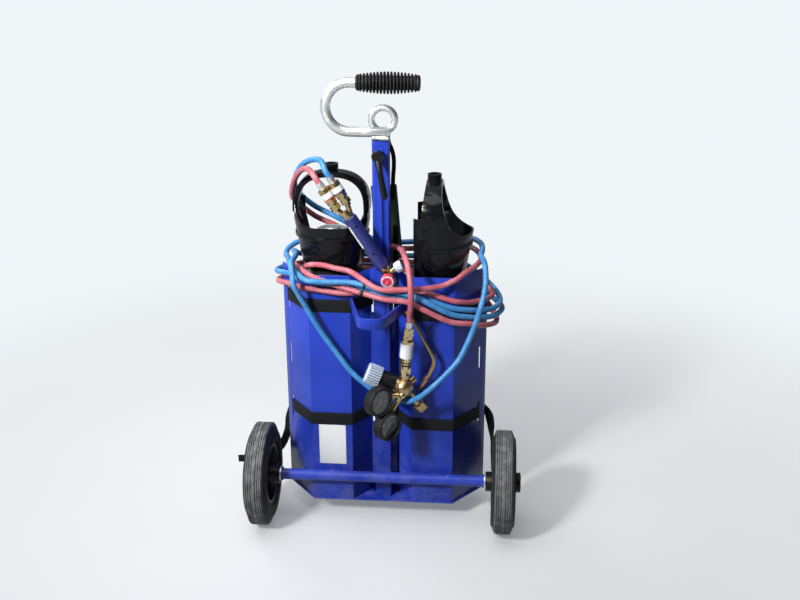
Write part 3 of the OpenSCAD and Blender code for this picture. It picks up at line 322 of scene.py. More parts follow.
def webbing(name, colour=(0.0038, 0.004, 0.005)):
    """Woven polyester webbing: twill ribs across, thick edges, grey fluff. The weave's crowns carry painted
    highlight and its grooves painted shade.
    """
    f = Finish(name, colour, 0.75, Sheen_Weight=0.02, Sheen_Roughness=0.5, Specular_IOR_Level=0.15)
    threads, pitch = 12, 3300
    along, over = f.uv(0), f.uv(1)
    warp = (over * threads * 6.2832).wave()
    weft = (along * pitch + (over * threads * 3.1416).wave() * 1.6).wave()
    thread = warp * 0.5 + weft * 0.5
    fluff = f.noise(260, 5, 0.7).between(0.52, 0.72)
    # Colour follows the thread height: crowns painted lighter as highlight, grooves painted darker as shade
    dark, light = toned(colour, 0.6), toned(colour, 1.9, 0.002)
    shade = f.mix(dark, light, thread * 0.5 + 0.5)
    f.set("Base Color", f.mix(shade, (0.05, 0.05, 0.055), fluff * 0.3))
    f.set("Roughness", 0.68 + fluff * 0.15)
    f.bump(thread, 0.00014)
    return f.mat


def bottle_paint(name, colour):
    """Sprayed bottle paint with cloudy tone, scuffs and chips."""
    f = Finish(name, colour, 0.36, Coat_Weight=0.15, Coat_Roughness=0.2)
    rub = f.noise(1, 4, 0.7, f.stretched(120, 120, 30)).between(0.62, 0.72)
    chip = (f.noise(120, 3) > 0.7) * f.noise(16, 1).between(0.5, 0.58)
    shade = f.mix(colour, toned(colour, 1.6, 0.003), f.noise(9, 3).between(0.3, 0.7) * 0.5)
    shade = f.mix(shade, (0.16, 0.16, 0.16), rub * 0.35)
    f.set("Base Color", f.mix(shade, (0.24, 0.22, 0.2), chip * 0.8))
    f.set("Roughness", 0.34 + rub * 0.25 + chip * 0.3)
    f.bump(f.noise(480, 2) - chip * 1.2, 0.00008)
    return f.mat


def nozzle_copper(name):
    """Copper nozzle with violet heat colours, and soot at its mouth."""
    copper_red = (0.62, 0.30, 0.18)
    f = Finish(name, copper_red, 0.34, 1.0)
    heat = f.noise(220, 4, 0.6)
    soot = 1 - (f.axis(2) + heat * 0.004).between(0.302, 0.312)
    shade = f.mix(copper_red, (0.42, 0.24, 0.30), heat.between(0.4, 0.65) * 0.6)
    f.set("Base Color", f.mix(shade, (0.03, 0.027, 0.025), soot * 0.8))
    f.set("Roughness", 0.3 + soot * 0.4)
    f.bump(heat, 0.00005)
    return f.mat


def bare_plate(name):
    """Blank white plate with handling marks."""
    white = (0.62, 0.64, 0.66)
    f = Finish(name, white, 0.38, Coat_Weight=0.3, Coat_Roughness=0.15)
    marks = f.noise(70, 5, 0.7).between(0.55, 0.75)
    f.set("Base Color", f.mix(white, (0.48, 0.49, 0.50), marks * 0.4))
    f.set("Roughness", 0.34 + marks * 0.25)
    f.bump(f.noise(300, 2), 0.00003)
    return f.mat


def glossy(name, colour, rough=0.25, coat=0.4):
    """Hard glossy plastic or enamel with fine hairlines."""
    f = Finish(name, colour, rough, Coat_Weight=coat, Coat_Roughness=0.08)
    hair = f.noise(1, 3, 0.6, f.stretched(700, 90, 400)).between(0.6, 0.72)
    shade = f.mix(colour, toned(colour, 0.82), f.noise(80, 4).between(0.4, 0.7) * 0.5)
    f.set("Base Color", f.mix(shade, toned(colour, 1.1, 0.05), hair * 0.35))
    f.set("Roughness", rough + hair * 0.2)
    f.bump(f.noise(600, 2), 0.00003)
    return f.mat


def clear_window(name):
    """Clear plastic with a faint haze."""
    f = Finish(name, (0.96, 0.98, 0.98), 0.04, Transmission_Weight=1.0, IOR=1.49)
    f.set("Roughness", 0.03 + f.noise(90, 4).between(0.55, 0.75) * 0.06)
    return f.mat


def weld_metal(name, colour):
    """Ripples of a weld under the same coat."""
    f = Finish(name, colour, 0.36, Coat_Weight=0.2, Coat_Roughness=0.15)
    f.set("Base Color", f.mix(toned(colour, 0.7), colour, f.noise(300, 3).between(0.35, 0.6)))
    f.bump(f.noise(700, 3), 0.0002)
    return f.mat


BLUE = (0.012, 0.037, 0.36)
coat = powder_coat("royal_blue_powder_coat", BLUE)
zinc_plate = zinc("bright_zinc")
steel_dark = moulded("black_enamel", (0.006, 0.006, 0.008), 0.32, 300, 0.00006, 0.02, 0.1)
tyre_rubber = tread_rubber("solid_tyre_rubber")
black_rubber = rubber("black_rubber")
rim_plastic = moulded("rim_plastic", (0.006, 0.006, 0.007), 0.4, 260)
guard_plastic = moulded("guard_plastic", (0.004, 0.0043, 0.0055), 0.13, 240, 0.00004, 0.008, 0.08, 0.2)
cap_plastic = moulded("cap_plastic", (0.006, 0.006, 0.007), 0.3, 500, 0.00005)
nylon = moulded("natural_nylon", (0.78, 0.75, 0.66), 0.5, 500)
bottle_black = bottle_paint("bottle_black", (0.006, 0.006, 0.007))
bottle_maroon = bottle_paint("bottle_maroon", (0.10, 0.016, 0.014))
bright_brass = brass("bright_brass")
dull_brass = brass("dull_brass", (0.50, 0.36, 0.18), 0.28)
cast_metal = zinc("cast_handwheel", (0.46, 0.46, 0.47), 0.42)
copper = nozzle_copper("nozzle_copper")
woven = webbing("black_webbing")
card_green = glossy("dark_green_card", (0.012, 0.055, 0.032), 0.34)
plate_white = bare_plate("blank_white_plate")
torch_blue = glossy("torch_blue", (0.016, 0.022, 0.125), 0.3)
knob_red = glossy("knob_red", (0.62, 0.02, 0.05), 0.3)
knob_light = glossy("bright_knob", (0.46, 0.54, 0.66), 0.16, 0.8)
dial_black = glossy("dial_black", (0.006, 0.006, 0.007), 0.4, 0.0)
dial_mark = glossy("dial_marking", (0.42, 0.43, 0.43), 0.5, 0.0)
# Painted shade: a dark finish for strips laid in the adjusting knob's grooves
flute_shade = glossy("knob_groove_painted_shade", (0.05, 0.075, 0.13), 0.4, 0.1)
window = clear_window("gauge_window")
bead_metal = weld_metal("coated_weld", BLUE)
red_hose_rubber = hose_rubber("red_hose_rubber", (0.40, 0.088, 0.115), (0.53, 0.20, 0.245))
blue_hose_rubber = hose_rubber("blue_hose_rubber", (0.03, 0.18, 0.44), (0.10, 0.31, 0.57))


# ---------- mesh making ----------

def ease(made, width, angle):
    """Edges sharper than the angle eased by a small bevel, in millimetres."""
    edge = made.modifiers.new("edge", "BEVEL")
    edge.width = width / 1000
    edge.segments = 2
    edge.limit_method = "ANGLE"
    edge.angle_limit = math.radians(angle)
    edge.harden_normals = True
    return edge


class Piece:
    """Vertices, faces and UVs of one piece, gathered in millimetres of the cart's drawing."""

    def __init__(self):
        self.points, self.faces, self.uvs = [], [], []

    def grid(self, rows, us, vs, loop=False, caps=True):
        """A skin through rows of points, each a closed ring. With loop the last joins the first."""
        n, k = len(rows), len(rows[0])
        start = len(self.points)
        for row in rows:
            self.points.extend([tuple(p) for p in row])
        for i in range(n if loop else n - 1):
            j = (i + 1) % n
            for a in range(k):
                b = (a + 1) % k
                near, far = start + i * k, start + j * k
                self.faces.append((near + a, far + a, far + b, near + b))
                u0, u1 = us[i], us[i + 1]
                v0, v1 = vs[a], vs[a + 1]
                self.uvs.extend([(u0, v0), (u1, v0), (u1, v1), (u0, v1)])
        if caps and not loop:
            self.faces.append(tuple(start + a for a in range(k)))
            self.faces.append(tuple(start + (n - 1) * k + a for a in range(k - 1, -1, -1)))
            self.uvs.extend([(us[0], vs[a]) for a in range(k)] + [(us[n - 1], vs[a]) for a in range(k)])

    def sweep(self, line, section, side=None, loop=False, swell=None):
        """The section's outline carried along the line, its first measure towards side."""
        line = np.array(line, float)
        n = len(line)
        if loop:
            way = np.roll(line, -1, 0) - np.roll(line, 1, 0)
        else:
            way = np.gradient(line, axis=0)
        way /= np.linalg.norm(way, axis=1)[:, None]
        gaps = np.linalg.norm(np.diff(np.vstack([line, line[:1]]), axis=0), axis=1)
        us = np.concatenate([[0], np.cumsum(gaps)]) / 1000
        section = np.array(section, float)
        around = np.linalg.norm(np.diff(np.vstack([section, section[:1]]), axis=0), axis=1)
        vs = np.concatenate([[0], np.cumsum(around)]) / around.sum()
        if side is None:
            steep = abs(way[0][2]) > 0.8
            a = np.array([1.0, 0, 0] if steep else [0, 0, 1.0])
        rows = []
        for i in range(n):
            base = a if side is None else np.array(side, float)
            a = unit(base - way[i] * (base @ way[i]))
            b = np.cross(way[i], a)
            grow = 1.0 if swell is None else swell[i]
            rows.append(line[i] + grow * (section[:, :1] * a + section[:, 1:] * b))
        self.grid(rows, us, vs, loop)

    def turn(self, profile, start, way, sides=64, loop=False):
        """The profile, (radius, height) in millimetres, turned about the line from start along way."""
        start, way = np.array(start, float), unit(way)
        a = unit(np.cross(way, [0, 0, 1.0]) if abs(way[2]) < 0.9 else np.cross(way, [1.0, 0, 0]))
        b = np.cross(way, a)
        angles = np.arange(sides) * 2 * math.pi / sides
        ring = np.cos(angles)[:, None] * a + np.sin(angles)[:, None] * b
        rows = [start + h * way + r * ring for r, h in profile]
        gaps = [math.dist(p, q) for p, q in zip(profile, profile[1:] + profile[:1])]
        self.grid(rows, np.concatenate([[0], np.cumsum(gaps)]) / 1000, np.arange(sides + 1) / sides, loop)

    def block(self, centre, size, x=(1, 0, 0), y=(0, 1, 0)):
        """A block with its own x and y directions."""
        centre, x, y = np.array(centre, float), unit(x), unit(y)
        z = np.cross(x, y)
        hx, hy, hz = [s / 2 for s in size]
        corners = ((-1, -1), (1, -1), (1, 1), (-1, 1))
        rows = [[centre + sx * hx * x + sy * hy * y + h * z for sx, sy in corners] for h in (-hz, hz)]
        self.grid(rows, [0, size[2] / 1000], [0, 0.25, 0.5, 0.75, 1.0])

    def done(self, name, finish, body="cart", replaces=(), bevel=0.0, angle=35):
        """The piece as an object on its body. Edges past the angle stay sharp."""
        mesh = bpy.data.meshes.new(name)
        mesh.from_pydata([cart(p) for p in self.points], [], self.faces)
        layer = mesh.uv_layers.new(name="UVMap")
        layer.data.foreach_set("uv", np.array(self.uvs, np.float32).ravel())
        shell = bmesh.new()
        shell.from_mesh(mesh)
        bmesh.ops.recalc_face_normals(shell, faces=shell.faces)
        shell.to_mesh(mesh)
        shell.free()
        mesh.materials.append(finish)
        mesh.shade_smooth()
        mesh.set_sharp_from_angle(angle=math.radians(angle))
        made = put(name, mesh)
        if bevel:
            ease(made, bevel, 40)
        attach(made, body)
        if replaces:
            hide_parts(*replaces)
        return made


def ring(r, sides):
    turns = [2 * math.pi * k / sides for k in range(sides)]
    return [(r * math.cos(t), r * math.sin(t)) for t in turns]


def band_profile(r, rise, ease_by, width):
    """Profile of a raised band with slanting shoulders."""
    return [(r, 0), (r + rise, ease_by), (r + rise, width - ease_by), (r, width)]


def strip_section(width, thick):
    """Webbing section: flat faces, thick rounded edges."""
    w, t = width / 2, thick / 2
    face = [(-w + 0.9, t * 0.86), (-w * 0.5, t), (0, t), (w * 0.5, t), (w - 0.9, t * 0.86),
            (w - 0.15, t * 0.6), (w, 0)]
    return face + [(-a, -b) for a, b in face]


def smooth(points, spacing=4.0):
    """The same curve that the drawing uses through a route's points, finely divided."""
    p = [np.array(q, float) for q in points]
    n, line = len(p), []
    for i in range(n - 1):
        a, b, c, d = p[max(i - 1, 0)], p[i], p[i + 1], p[min(i + 2, n - 1)]
        steps = max(1, round(float(np.linalg.norm(c - b)) / spacing))
        for k in range(steps):
            t = k / steps
            line.append(0.5 * (2 * b + (c - a) * t + (2 * a - 5 * b + 4 * c - d) * t * t
                               + (3 * b - a - 3 * c + d) * t ** 3))
    return line + [p[-1]]


# ---------- hoses ----------

HOSE_D = 10.5
TORCH_START = np.array([-53, -18, 627.0])
TORCH_WAY = unit([60, 0, -92])
TORCH_SIDE = np.array([-TORCH_WAY[2], 0, TORCH_WAY[0]])
TORCH_LEN = 110.0
VALVE_SPLAY = 10.9
FERRULE = 12.0
REG = np.array([45, -48, 312.0])
ARRESTOR_WAY = unit([11, -2, 129])
ARRESTOR_START = REG + 19.5 * ARRESTOR_WAY
ARRESTOR_LEN = 99
OXYGEN_END = np.array([-97, 98.5, 544.0])


def torch_at(s, side=0.0):
    """A point s along the torch from its hose end, and off its axis to one side."""
    return TORCH_START + s * TORCH_WAY + side * TORCH_SIDE


def valve_line(s):
    """Where one of the torch's two check valves ends, and the way it points."""
    near, far = torch_at(-24, s * VALVE_SPLAY), torch_at(-68, s * VALVE_SPLAY)
    return far, unit(far - near)


RED_OVER = [[-126, -4, 709], [-144, 26, 701], [-164, 60, 674], [-176, 95, 636], [-166, 119, 612],
            [-138, 124, 588], [-103, 125, 572], [-70, 132, 552], [-42, 148, 528], [0, 160, 515],
            [60, 160, 516], [110, 158, 522], [155, 140, 528], [176, 100, 530], [182, 66, 527]]
RED_FIRST = [[173, 38, 523], [154, 8, 518], [136, -8, 509], [110, -20, 501], [75, -40, 502], [39, -50, 503],
             [11, -53, 503], [-8, -50, 508], [-26, -40, 516], [-54, -16, 524], [-82, -10, 528],
             [-112, 4, 529], [-139, 22, 521], [-150, 42, 504], [-165, 75, 496], [-162, 105, 486],
             [-148, 136, 478], [-110, 154, 474], [-60, 156, 474], [0, 156, 472], [60, 156, 470],
             [97, 157, 466], [140, 146, 455], [185, 118, 435], [210, 86, 412]]
RED_SECOND = [[214, 58, 408], [206, 30, 412], [183, -4, 421], [165, -18, 429], [129, -33, 438],
              [84, -44, 463], [62, -45, 475], [46, -49, 481], [28, -50, 483], [13, -49, 484],
              [-30, -36, 490], [-67, -22, 495], [-104, -18, 506], [-131, -14, 516], [-149, 12, 518],
              [-160, 34, 518], [-171, 64, 508], [-184, 92, 499], [-176, 120, 492], [-150, 150, 489],
              [-110, 166, 488], [-60, 164, 488], [0, 164, 487], [60, 164, 485], [110, 162, 480],
              [160, 142, 470], [196, 104, 459]]
RED_THIRD = [[205, 72, 455], [189, 40, 456], [164, 12, 460], [142, -6, 467], [128, -9, 471], [92, -10, 482],
             [70, -9, 487], [40, -5, 489], [0, -4, 486], [-41, -14, 483], [-74, -15, 482], [-111, -8, 484],
             [-149, -6, 489], [-172, 25, 484], [-202, 66, 475], [-200, 96, 472], [-176, 128, 466],
             [-140, 154, 461], [-97, 162, 460], [-58, 152, 460], [-22, 132, 476], [-14, 118, 500],
             [-23, 98, 521], [-30, 80, 534], [-27, 66, 541]]
RED_DROP = [[-14, 53, 547], [4, 52, 550], [19, 51, 552], [34, 34, 553], [40, 8, 556], [46, -18, 555],
            [53, -42, 546], [58, -58, 528], [60, -64, 507], [60.5, -64, 490], [59.5, -60.5, 474]]
BLUE_OVER = [[-105, -4, 726], [-130, 22, 719], [-153, 58, 697], [-170, 92, 662], [-166, 118, 634],
             [-140, 124, 609], [-108, 125, 592], [-75, 132, 572], [-48, 140, 550], [-20, 152, 532],
             [25, 156, 529], [70, 158, 532], [115, 156, 538], [158, 138, 546], [180, 100, 548],
             [184, 66, 545], [182, 40, 542]]
BLUE_HANG = [[189, 12, 536], [192, -10, 514], [190, -24, 490], [183, -34, 463], [171, -38, 424],
             [149, -50, 375], [123, -62, 345], [97, -68, 320], [75, -61, 298], [56, -50, 284],
             [44, -41, 280], [28, -34, 279], [8, -29, 281], [-20, -26, 299], [-48, -20, 320],
             [-67, -18, 342], [-112, -18, 409], [-141, -24, 466], [-155, -34, 501], [-158, -28, 518],
             [-164, -4, 534], [-162, 30, 537], [-168, 65, 534], [-176, 96, 526]]
BLUE_FIRST = [[-170, 124, 512], [-146, 152, 504], [-105, 164, 502], [-60, 162, 501], [0, 160, 500],
              [60, 160, 500], [110, 170, 497], [160, 158, 480], [205, 118, 455], [220, 88, 441],
              [214, 58, 438], [198, 30, 440], [165, -2, 450], [128, -19, 460], [90, -26, 476],
              [65, -31, 480], [38, -33, 482], [12, -30, 487], [-12, -28, 491], [-40, -16, 496],
              [-74, -7, 494], [-111, -7, 497], [-149, -7, 505], [-172, 26, 503], [-202, 64, 495]]
BLUE_SECOND = [[-207, 84, 492], [-200, 110, 489], [-186, 134, 486], [-160, 160, 480], [-110, 172, 475],
               [-60, 172, 475], [0, 172, 474], [60, 172, 472], [110, 170, 464], [164, 156, 448],
               [210, 116, 430], [224, 84, 426], [218, 58, 424], [206, 34, 426], [183, 8, 432],
               [165, -8, 438], [129, -28, 451], [84, -42, 479], [60, -41, 489], [39, -40, 493],
               [12, -41, 497], [-25, -35, 504], [-53, -30, 508], [-91, -30, 508], [-130, -31, 510],
               [-154, -10, 518], [-172, 22, 523], [-178, 50, 522], [-186, 80, 518]]
BLUE_TAIL = [[-194, 106, 517], [-192, 136, 521], [-172, 160, 528], [-142, 168, 535], [-113, 154, 541]]


def straight(start, way, out=True):
    """Three points along one hose diameter from a fitting."""
    ends = [start + k * HOSE_D / 2 * np.array(way) for k in range(3)]
    return ends if out else ends[::-1]


def make_hose(name, route, finish, ties):
    """One hose with its cable ties, each a place and the turn of its lock in degrees."""
    line = smooth(route)
    hose = Piece()
    hose.sweep(line, ring(HOSE_D / 2, 20))
    made = hose.done(name, finish, replaces=[name.replace("_line", "_hose")], angle=60)
    length = sum(math.dist(p, q) for p, q in zip(line, line[1:])) / 1000
    bands = []
    for n, (at, turn) in enumerate(ties):
        i = min(range(len(line)), key=lambda k: math.dist(line[k], at))
        bands.append(make_tie(f"{name}_tie_{n}", line[i], unit(line[i + 1] - line[i - 1]), turn))
    end = [float(v) for v in cart(route[0])]
    [cart(p) for p in line]
    return bands


def make_tie(name, at, way, turn):
    """Cable tie: ribbed band, lock head and cut tail."""
    tie = Piece()
    a = unit(np.cross(way, [0, 0, 1.0]))
    b = np.cross(way, a)
    circle = [at + (HOSE_D / 2 + 0.7) * (math.cos(t) * a + math.sin(t) * b)
              for t in np.linspace(0, 2 * math.pi, 41)[:-1]]
    tie.sweep(circle, [(-2.0, -0.35), (2.0, -0.35), (2.0, 0.35), (-2.0, 0.35)], side=way, loop=True)
    t = math.radians(turn)
    out, tangent = math.cos(t) * a + math.sin(t) * b, -math.sin(t) * a + math.cos(t) * b
    tie.block(at + (HOSE_D / 2 + 2.3) * out, (5.2, 4.6, 3.6), x=way, y=tangent)
    tie.block(at + (HOSE_D / 2 + 3.2) * out + 4.5 * tangent, (2.6, 6.0, 0.8), x=way, y=tangent)
    return tie.done(name, cap_plastic, bevel=0.25)


def make_hoses():
    red_far, red_way = valve_line(-1)
    blue_far, blue_way = valve_line(1)
    red_end = ARRESTOR_START + (ARRESTOR_LEN + FERRULE) * ARRESTOR_WAY
    blue_end = OXYGEN_END + [0, FERRULE, 0]
    red_route = (straight(red_far + FERRULE * red_way, red_way) + RED_OVER + RED_FIRST + RED_SECOND
                 + RED_THIRD + RED_DROP + straight(red_end, ARRESTOR_WAY, False))
    blue_route = (straight(blue_far + FERRULE * blue_way, blue_way) + BLUE_OVER + BLUE_HANG + BLUE_FIRST
                  + BLUE_SECOND + BLUE_TAIL + straight(blue_end, (0, 1, 0), False))
    red_ties = make_hose("red_line", red_route, red_hose_rubber,
                         [([-30, -36, 490], 200), ([-41, -14, 483], 160)])
    make_hose("blue_line", blue_route, blue_hose_rubber, [([-25, -35, 504], 230)])
    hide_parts("hose_ties")


make_hoses()


# ---------- webbing ----------

BOTTLE_X, BOTTLE_Y, BOTTLE_R = 97.0, 72.5, 70.0
# Each strap's side and the height of its middle
UPPER_STRAPS = ((-1, 451), (1, 438))
LOWER_STRAPS = ((-1, 219), (1, 213))
STRAP_W, STRAP_T = 25, 1.8
# From the sheet or the bottle to a strap's middle
STRAP_OFF = 1.2


def strap_path():
    """A strap from above: out at the web slot, over the sheet, in at the outer slot, round the bottle."""
    c, r = np.array([BOTTLE_X, BOTTLE_Y]), BOTTLE_R + STRAP_OFF
    fold = np.array([60, 76])
    tilt = math.atan2(fold[1], fold[0])
    normal = np.array([math.sin(tilt), -math.cos(tilt)])
    outer = np.array([136, 0]) + 0.8 * fold
    a, b = np.array([20.6, 49.5]), outer - normal * 4.5
    knee = np.array([58, 0]) + STRAP_OFF * np.array([-math.tan(math.radians(26.7)), -1])
    knee_out = np.array([136, 0]) + STRAP_OFF * np.array([math.tan(tilt / 2), -1])
    ta = math.atan2(*(a - c)[::-1]) + 2 * math.pi - math.acos(r / np.linalg.norm(a - c))
    tb = math.atan2(*(b - c)[::-1]) + math.acos(r / np.linalg.norm(b - c))
    flat = [a, (20.6, 43.8), (24.0, 43.8), knee, knee_out, outer + normal * STRAP_OFF, b]
    arc = [c + r * np.array([math.cos(t), math.sin(t)]) for t in np.linspace(tb, ta, 61)]
    return flat + arc


def rounded(path, reach=1.4):
    """A closed path with its sharp corners eased."""
    path = [np.array(p, float) for p in path]
    n, eased = len(path), []
    for i in range(n):
        p, q, s = path[i - 1], path[i], path[(i + 1) % n]
        u, v = unit(p - q), unit(s - q)
        if u @ v > -0.97:
            d = min(reach, 0.3 * math.dist(p, q), 0.3 * math.dist(q, s))
            a, b = q + d * u, q + d * v
            eased += [a, 0.25 * a + 0.5 * q + 0.25 * b, b]
        else:
            eased.append(q)
    return eased


def long_steps(path, spacing=12.0):
    """Points added along long straight runs, so that the weave stays even."""
    full = []
    for p, q in zip(path, path[1:] + path[:1]):
        steps = max(1, round(math.dist(p, q) / spacing))
        full += [p + (q - p) * k / steps for k in range(steps)]
    return full


def make_straps():
    straps = Piece()
    path = long_steps(rounded(strap_path()))
    for mirror, z in UPPER_STRAPS + LOWER_STRAPS:
        line = [(mirror * p[0], p[1], z) for p in path]
        straps.sweep(line, strip_section(STRAP_W, STRAP_T), side=(0, 0, mirror), loop=True)
    straps.done("strap_webbing", woven, replaces=["bottle_straps"], angle=70)


def on_strap(side, degrees, z):
    """A point of a free end: on its strap's outer face, then lifting off it."""
    r = BOTTLE_R + 3.05 + 1.5 * (max(0, 44 - degrees) / 12) ** 2
    t = math.radians(degrees)
    return [side * (BOTTLE_X + r * math.cos(t)), BOTTLE_Y + r * math.sin(t), z]


def on_straps(side, z):
    return [on_strap(side, t, z) for t in range(64, 31, -4)]


TAILS = {
    "strap_tail_left": on_straps(*LOWER_STRAPS[0]) + [
        [-176, 102, 214], [-190, 97, 198], [-200, 96, 168], [-206, 98, 134], [-221, 102, 101],
        [-245, 103, 80], [-276, 101, 72], [-311, 98, 70]],
    "strap_tail_right": on_straps(*LOWER_STRAPS[1]) + [
        [176, 101, 212], [191, 93, 210], [204, 89, 196], [210.5, 91, 162], [213.5, 97, 120],
        [216, 102, 70]],
}
CARD_STRAP = [[11, 46.05, 757], [11.8, 46.05, 752], [13.6, 46.5, 745.5], [17, 48, 738], [20.5, 51, 722],
              [20.5, 55, 703], [18.5, 61, 682], [18, 61.5, 662], [18, 61.5, 640]]


def make_tails():
    for name, route in TAILS.items():
        tail = Piece()
        tail.sweep(smooth(route, 6), strip_section(16, 1.7), side=(0, 0, 1))
        made = tail.done(name, woven, angle=70)
        if name == "strap_tail_left":
            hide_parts("strap_tails")
    band = Piece()
    band.sweep(smooth(CARD_STRAP, 5), strip_section(8, 1.6), side=(1, 0, 0))
    band.block((22.7, 61.5, 553), (9.5, 1.8, 74))
    band.turn([(0.3, 1.6), (1.9, 1.5), (2.6, 0.8), (2.8, 0)], (22.7, 60.6, 582), (0, -1, 0), 24)
    band.done("card_band", woven, replaces=["card_strap"], angle=70, bevel=0.3)


def make_buckles():
    """Cam buckles: folded frame, toothed cam on its pin and the thumb lever."""
    buckles = Piece()
    front = BOTTLE_Y + BOTTLE_R + 0.6 + STRAP_T
    for mirror, z in UPPER_STRAPS + LOWER_STRAPS:
        x = mirror * BOTTLE_X
        buckles.block((x, front + 0.8, z), (30, 1.6, 28))
        for s in (-1, 1):
            buckles.block((x, front + 2.9, z + s * 14.4), (28, 5.6, 1.7))
        buckles.turn([(2.0, 0), (2.0, 30.4)], (x - 6, front + 3.4, z - 15.2), (0, 0, 1), 20)
        buckles.block((x + 3.5, front + 4.6, z), (19, 1.6, 25), x=(1, 0.05, 0), y=(-0.05, 1, 0))
        buckles.block((x - 6, front + 3.6, z), (5.5, 3.6, 25.5))
        for k in range(5):
            buckles.block((x + 9 - 2.2 * k, front + 5.4, z), (0.9, 0.8, 20))
    buckles.done("cam_buckles", zinc_plate, replaces=["strap_buckles"], bevel=0.35)


make_straps()
make_tails()
make_buckles()


# ---------- handle grip ----------

def make_grip():
    """Ribs that swell towards the middle, with rounded lips."""
    left, length, core, bore = -42.0, 113.0, 12.5, 9.05
    ribs, rib_pitch, rib_r, rib_swell = 17, 6, 15.5, 4
    profile = [(bore, 0), (core - 2.2, 0), (core - 0.8, 0.5), (core + 0.4, 1.6), (core + 1.5, 2.4),
               (core + 1.5, 5.4), (core + 0.6, 6.2), (core, 6.6)]
    for k in range(ribs):
        at = length / 2 + rib_pitch * (k - (ribs - 1) / 2)
        r = rib_r + rib_swell * math.sin(math.pi * k / (ribs - 1))
        profile += [(core, at - 1.9), (r - 0.9, at - 1.5), (r - 0.25, at - 1.05), (r, at - 0.4),
                    (r, at + 0.4), (r - 0.25, at + 1.05), (r - 0.9, at + 1.5), (core, at + 1.9)]
    profile += [(core, length - 6.6), (core + 0.6, length - 6.2), (core + 1.5, length - 5.4),
                (core + 1.5, length - 2.4), (core + 0.4, length - 1.6), (core - 0.8, length - 0.5),
                (core - 3, length), (3, length), (3, length - 6.9), (bore, length - 6.9)]
    grip = Piece()
    grip.turn(profile, (left, 16.4, 859.5), (1, 0, 0), 72, loop=True)
    grip.done("ribbed_grip", black_rubber, "handle", ["handle_grip"], angle=50)


make_grip()


# ---------- gauges ----------

GAUGE_WAY = unit([0.74, -0.67, 0.05])
GAUGES = {"upper": np.array([1.5, -90, 301.5]), "lower": np.array([17, -80, 248.0])}
GAUGE_RIGHT = unit(np.cross(-GAUGE_WAY, [0, 0, 1.0]))
GAUGE_UP = np.cross(GAUGE_RIGHT, -GAUGE_WAY)
# The scale's first angle, clockwise from straight down, and its sweep, in degrees
SCALE_FROM, SCALE_SWEEP = 45, 270


def on_dial(middle, r, degrees, lift=5.15):
    """A point of the dial at an angle clockwise from straight down."""
    t = math.radians(degrees)
    return middle + lift * GAUGE_WAY + r * (-math.cos(t) * GAUGE_UP - math.sin(t) * GAUGE_RIGHT)


def dial_number(text, at, size):
    """A mesh of the plain figure, flat on the dial."""
    curve = bpy.data.curves.new("figure", "FONT")
    curve.body = text
    curve.align_x, curve.align_y = "CENTER", "CENTER"
    curve.size = size / 1000
    curve.extrude = 0.00004
    figure = put("figure", curve)
    bpy.context.view_layer.update()
    flat = bpy.data.meshes.new_from_object(figure.evaluated_get(bpy.context.evaluated_depsgraph_get()))
    bpy.data.objects.remove(figure)
    turn = Matrix((GAUGE_RIGHT, GAUGE_UP, GAUGE_WAY)).transposed().to_4x4()
    flat.transform(Matrix.Translation(cart(at)) @ turn)
    return flat


def make_dial(name, figures):
    """Dial, scale, figures and window of one gauge."""
    middle = GAUGES[name]
    face = Piece()
    face.turn([(22.9, 0), (22.9, 0.06)], middle + 5.03 * GAUGE_WAY, GAUGE_WAY, 64)
    face.done(f"dial_{name}", dial_black)
    marks = Piece()
    for k in range(41):
        angle = SCALE_FROM + SCALE_SWEEP * k / 40
        inner, wide = (16.6, 0.75) if k % 5 == 0 else (18.4, 0.35)
        a, b = on_dial(middle, inner, angle), on_dial(middle, 21.0, angle)
        marks.block((a + b) / 2, (math.dist(a, b), wide, 0.08), x=b - a, y=np.cross(GAUGE_WAY, unit(b - a)))
    marks.done(f"dial_marks_{name}", dial_mark)
    for k, text in enumerate(figures):
        angle = SCALE_FROM + SCALE_SWEEP * k / (len(figures) - 1)
        flat = dial_number(text, on_dial(middle, 13.2, angle), 4.4)
        flat.materials.clear()
        flat.materials.append(dial_mark)
        figure = put(f"dial_figure_{name}_{k}", flat)
        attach(figure, "cart")
    glass = Piece()
    glass.turn([(0.5, 0.0), (22.7, 0.0), (22.7, 0.8), (0.5, 0.8)], middle + 8.0 * GAUGE_WAY, GAUGE_WAY,
               64, loop=True)
    glass.done(f"gauge_window_{name}", window)


make_dial("upper", [str(n) for n in range(0, 41, 5)])
make_dial("lower", ["0", "0.5", "1", "1.5", "2"])


# ---------- torch and arrestor trim ----------

def round_torch(t):
    """The way off the torch's axis at an angle from its front."""
    return math.cos(t) * np.array([0, -1.0, 0]) + math.sin(t) * TORCH_SIDE


def make_torch_trim():
    """Blank label, two screws and two rings on the torch's handle."""
    label = Piece()
    skins = ((12.62, np.linspace(-1.08, -0.62, 9)), (12.3, np.linspace(-0.62, -1.08, 9)))
    rows = [[torch_at(s) + r * round_torch(t) for r, ts in skins for t in ts]
            for s in np.linspace(13, 60, 12)]
    label.grid(rows, np.linspace(0, 0.047, 13), np.linspace(0, 1, 19))
    label.done("torch_blank_label", plate_white, angle=50)
    screws = Piece()
    for s, t in ((19, 0.3), (77, 0.05)):
        way = round_torch(t)
        at = torch_at(s) + 12.1 * way
        screws.turn([(0.3, 1.0), (1.4, 1.0), (2.1, 0.8), (2.6, 0.2), (2.6, -0.6)], at, way, 24)
        screws.block(at + 1.05 * way, (3.4, 0.7, 0.3), x=np.cross(way, TORCH_WAY), y=TORCH_WAY)
    screws.done("torch_screws", cap_plastic)
    rings = Piece()
    for s in (5, 104):
        rings.turn([(12.3, -1.0), (12.7, -0.8), (12.7, 0.8), (12.3, 1.0)], torch_at(s), TORCH_WAY, 48)
    rings.done("torch_rings", torch_blue)


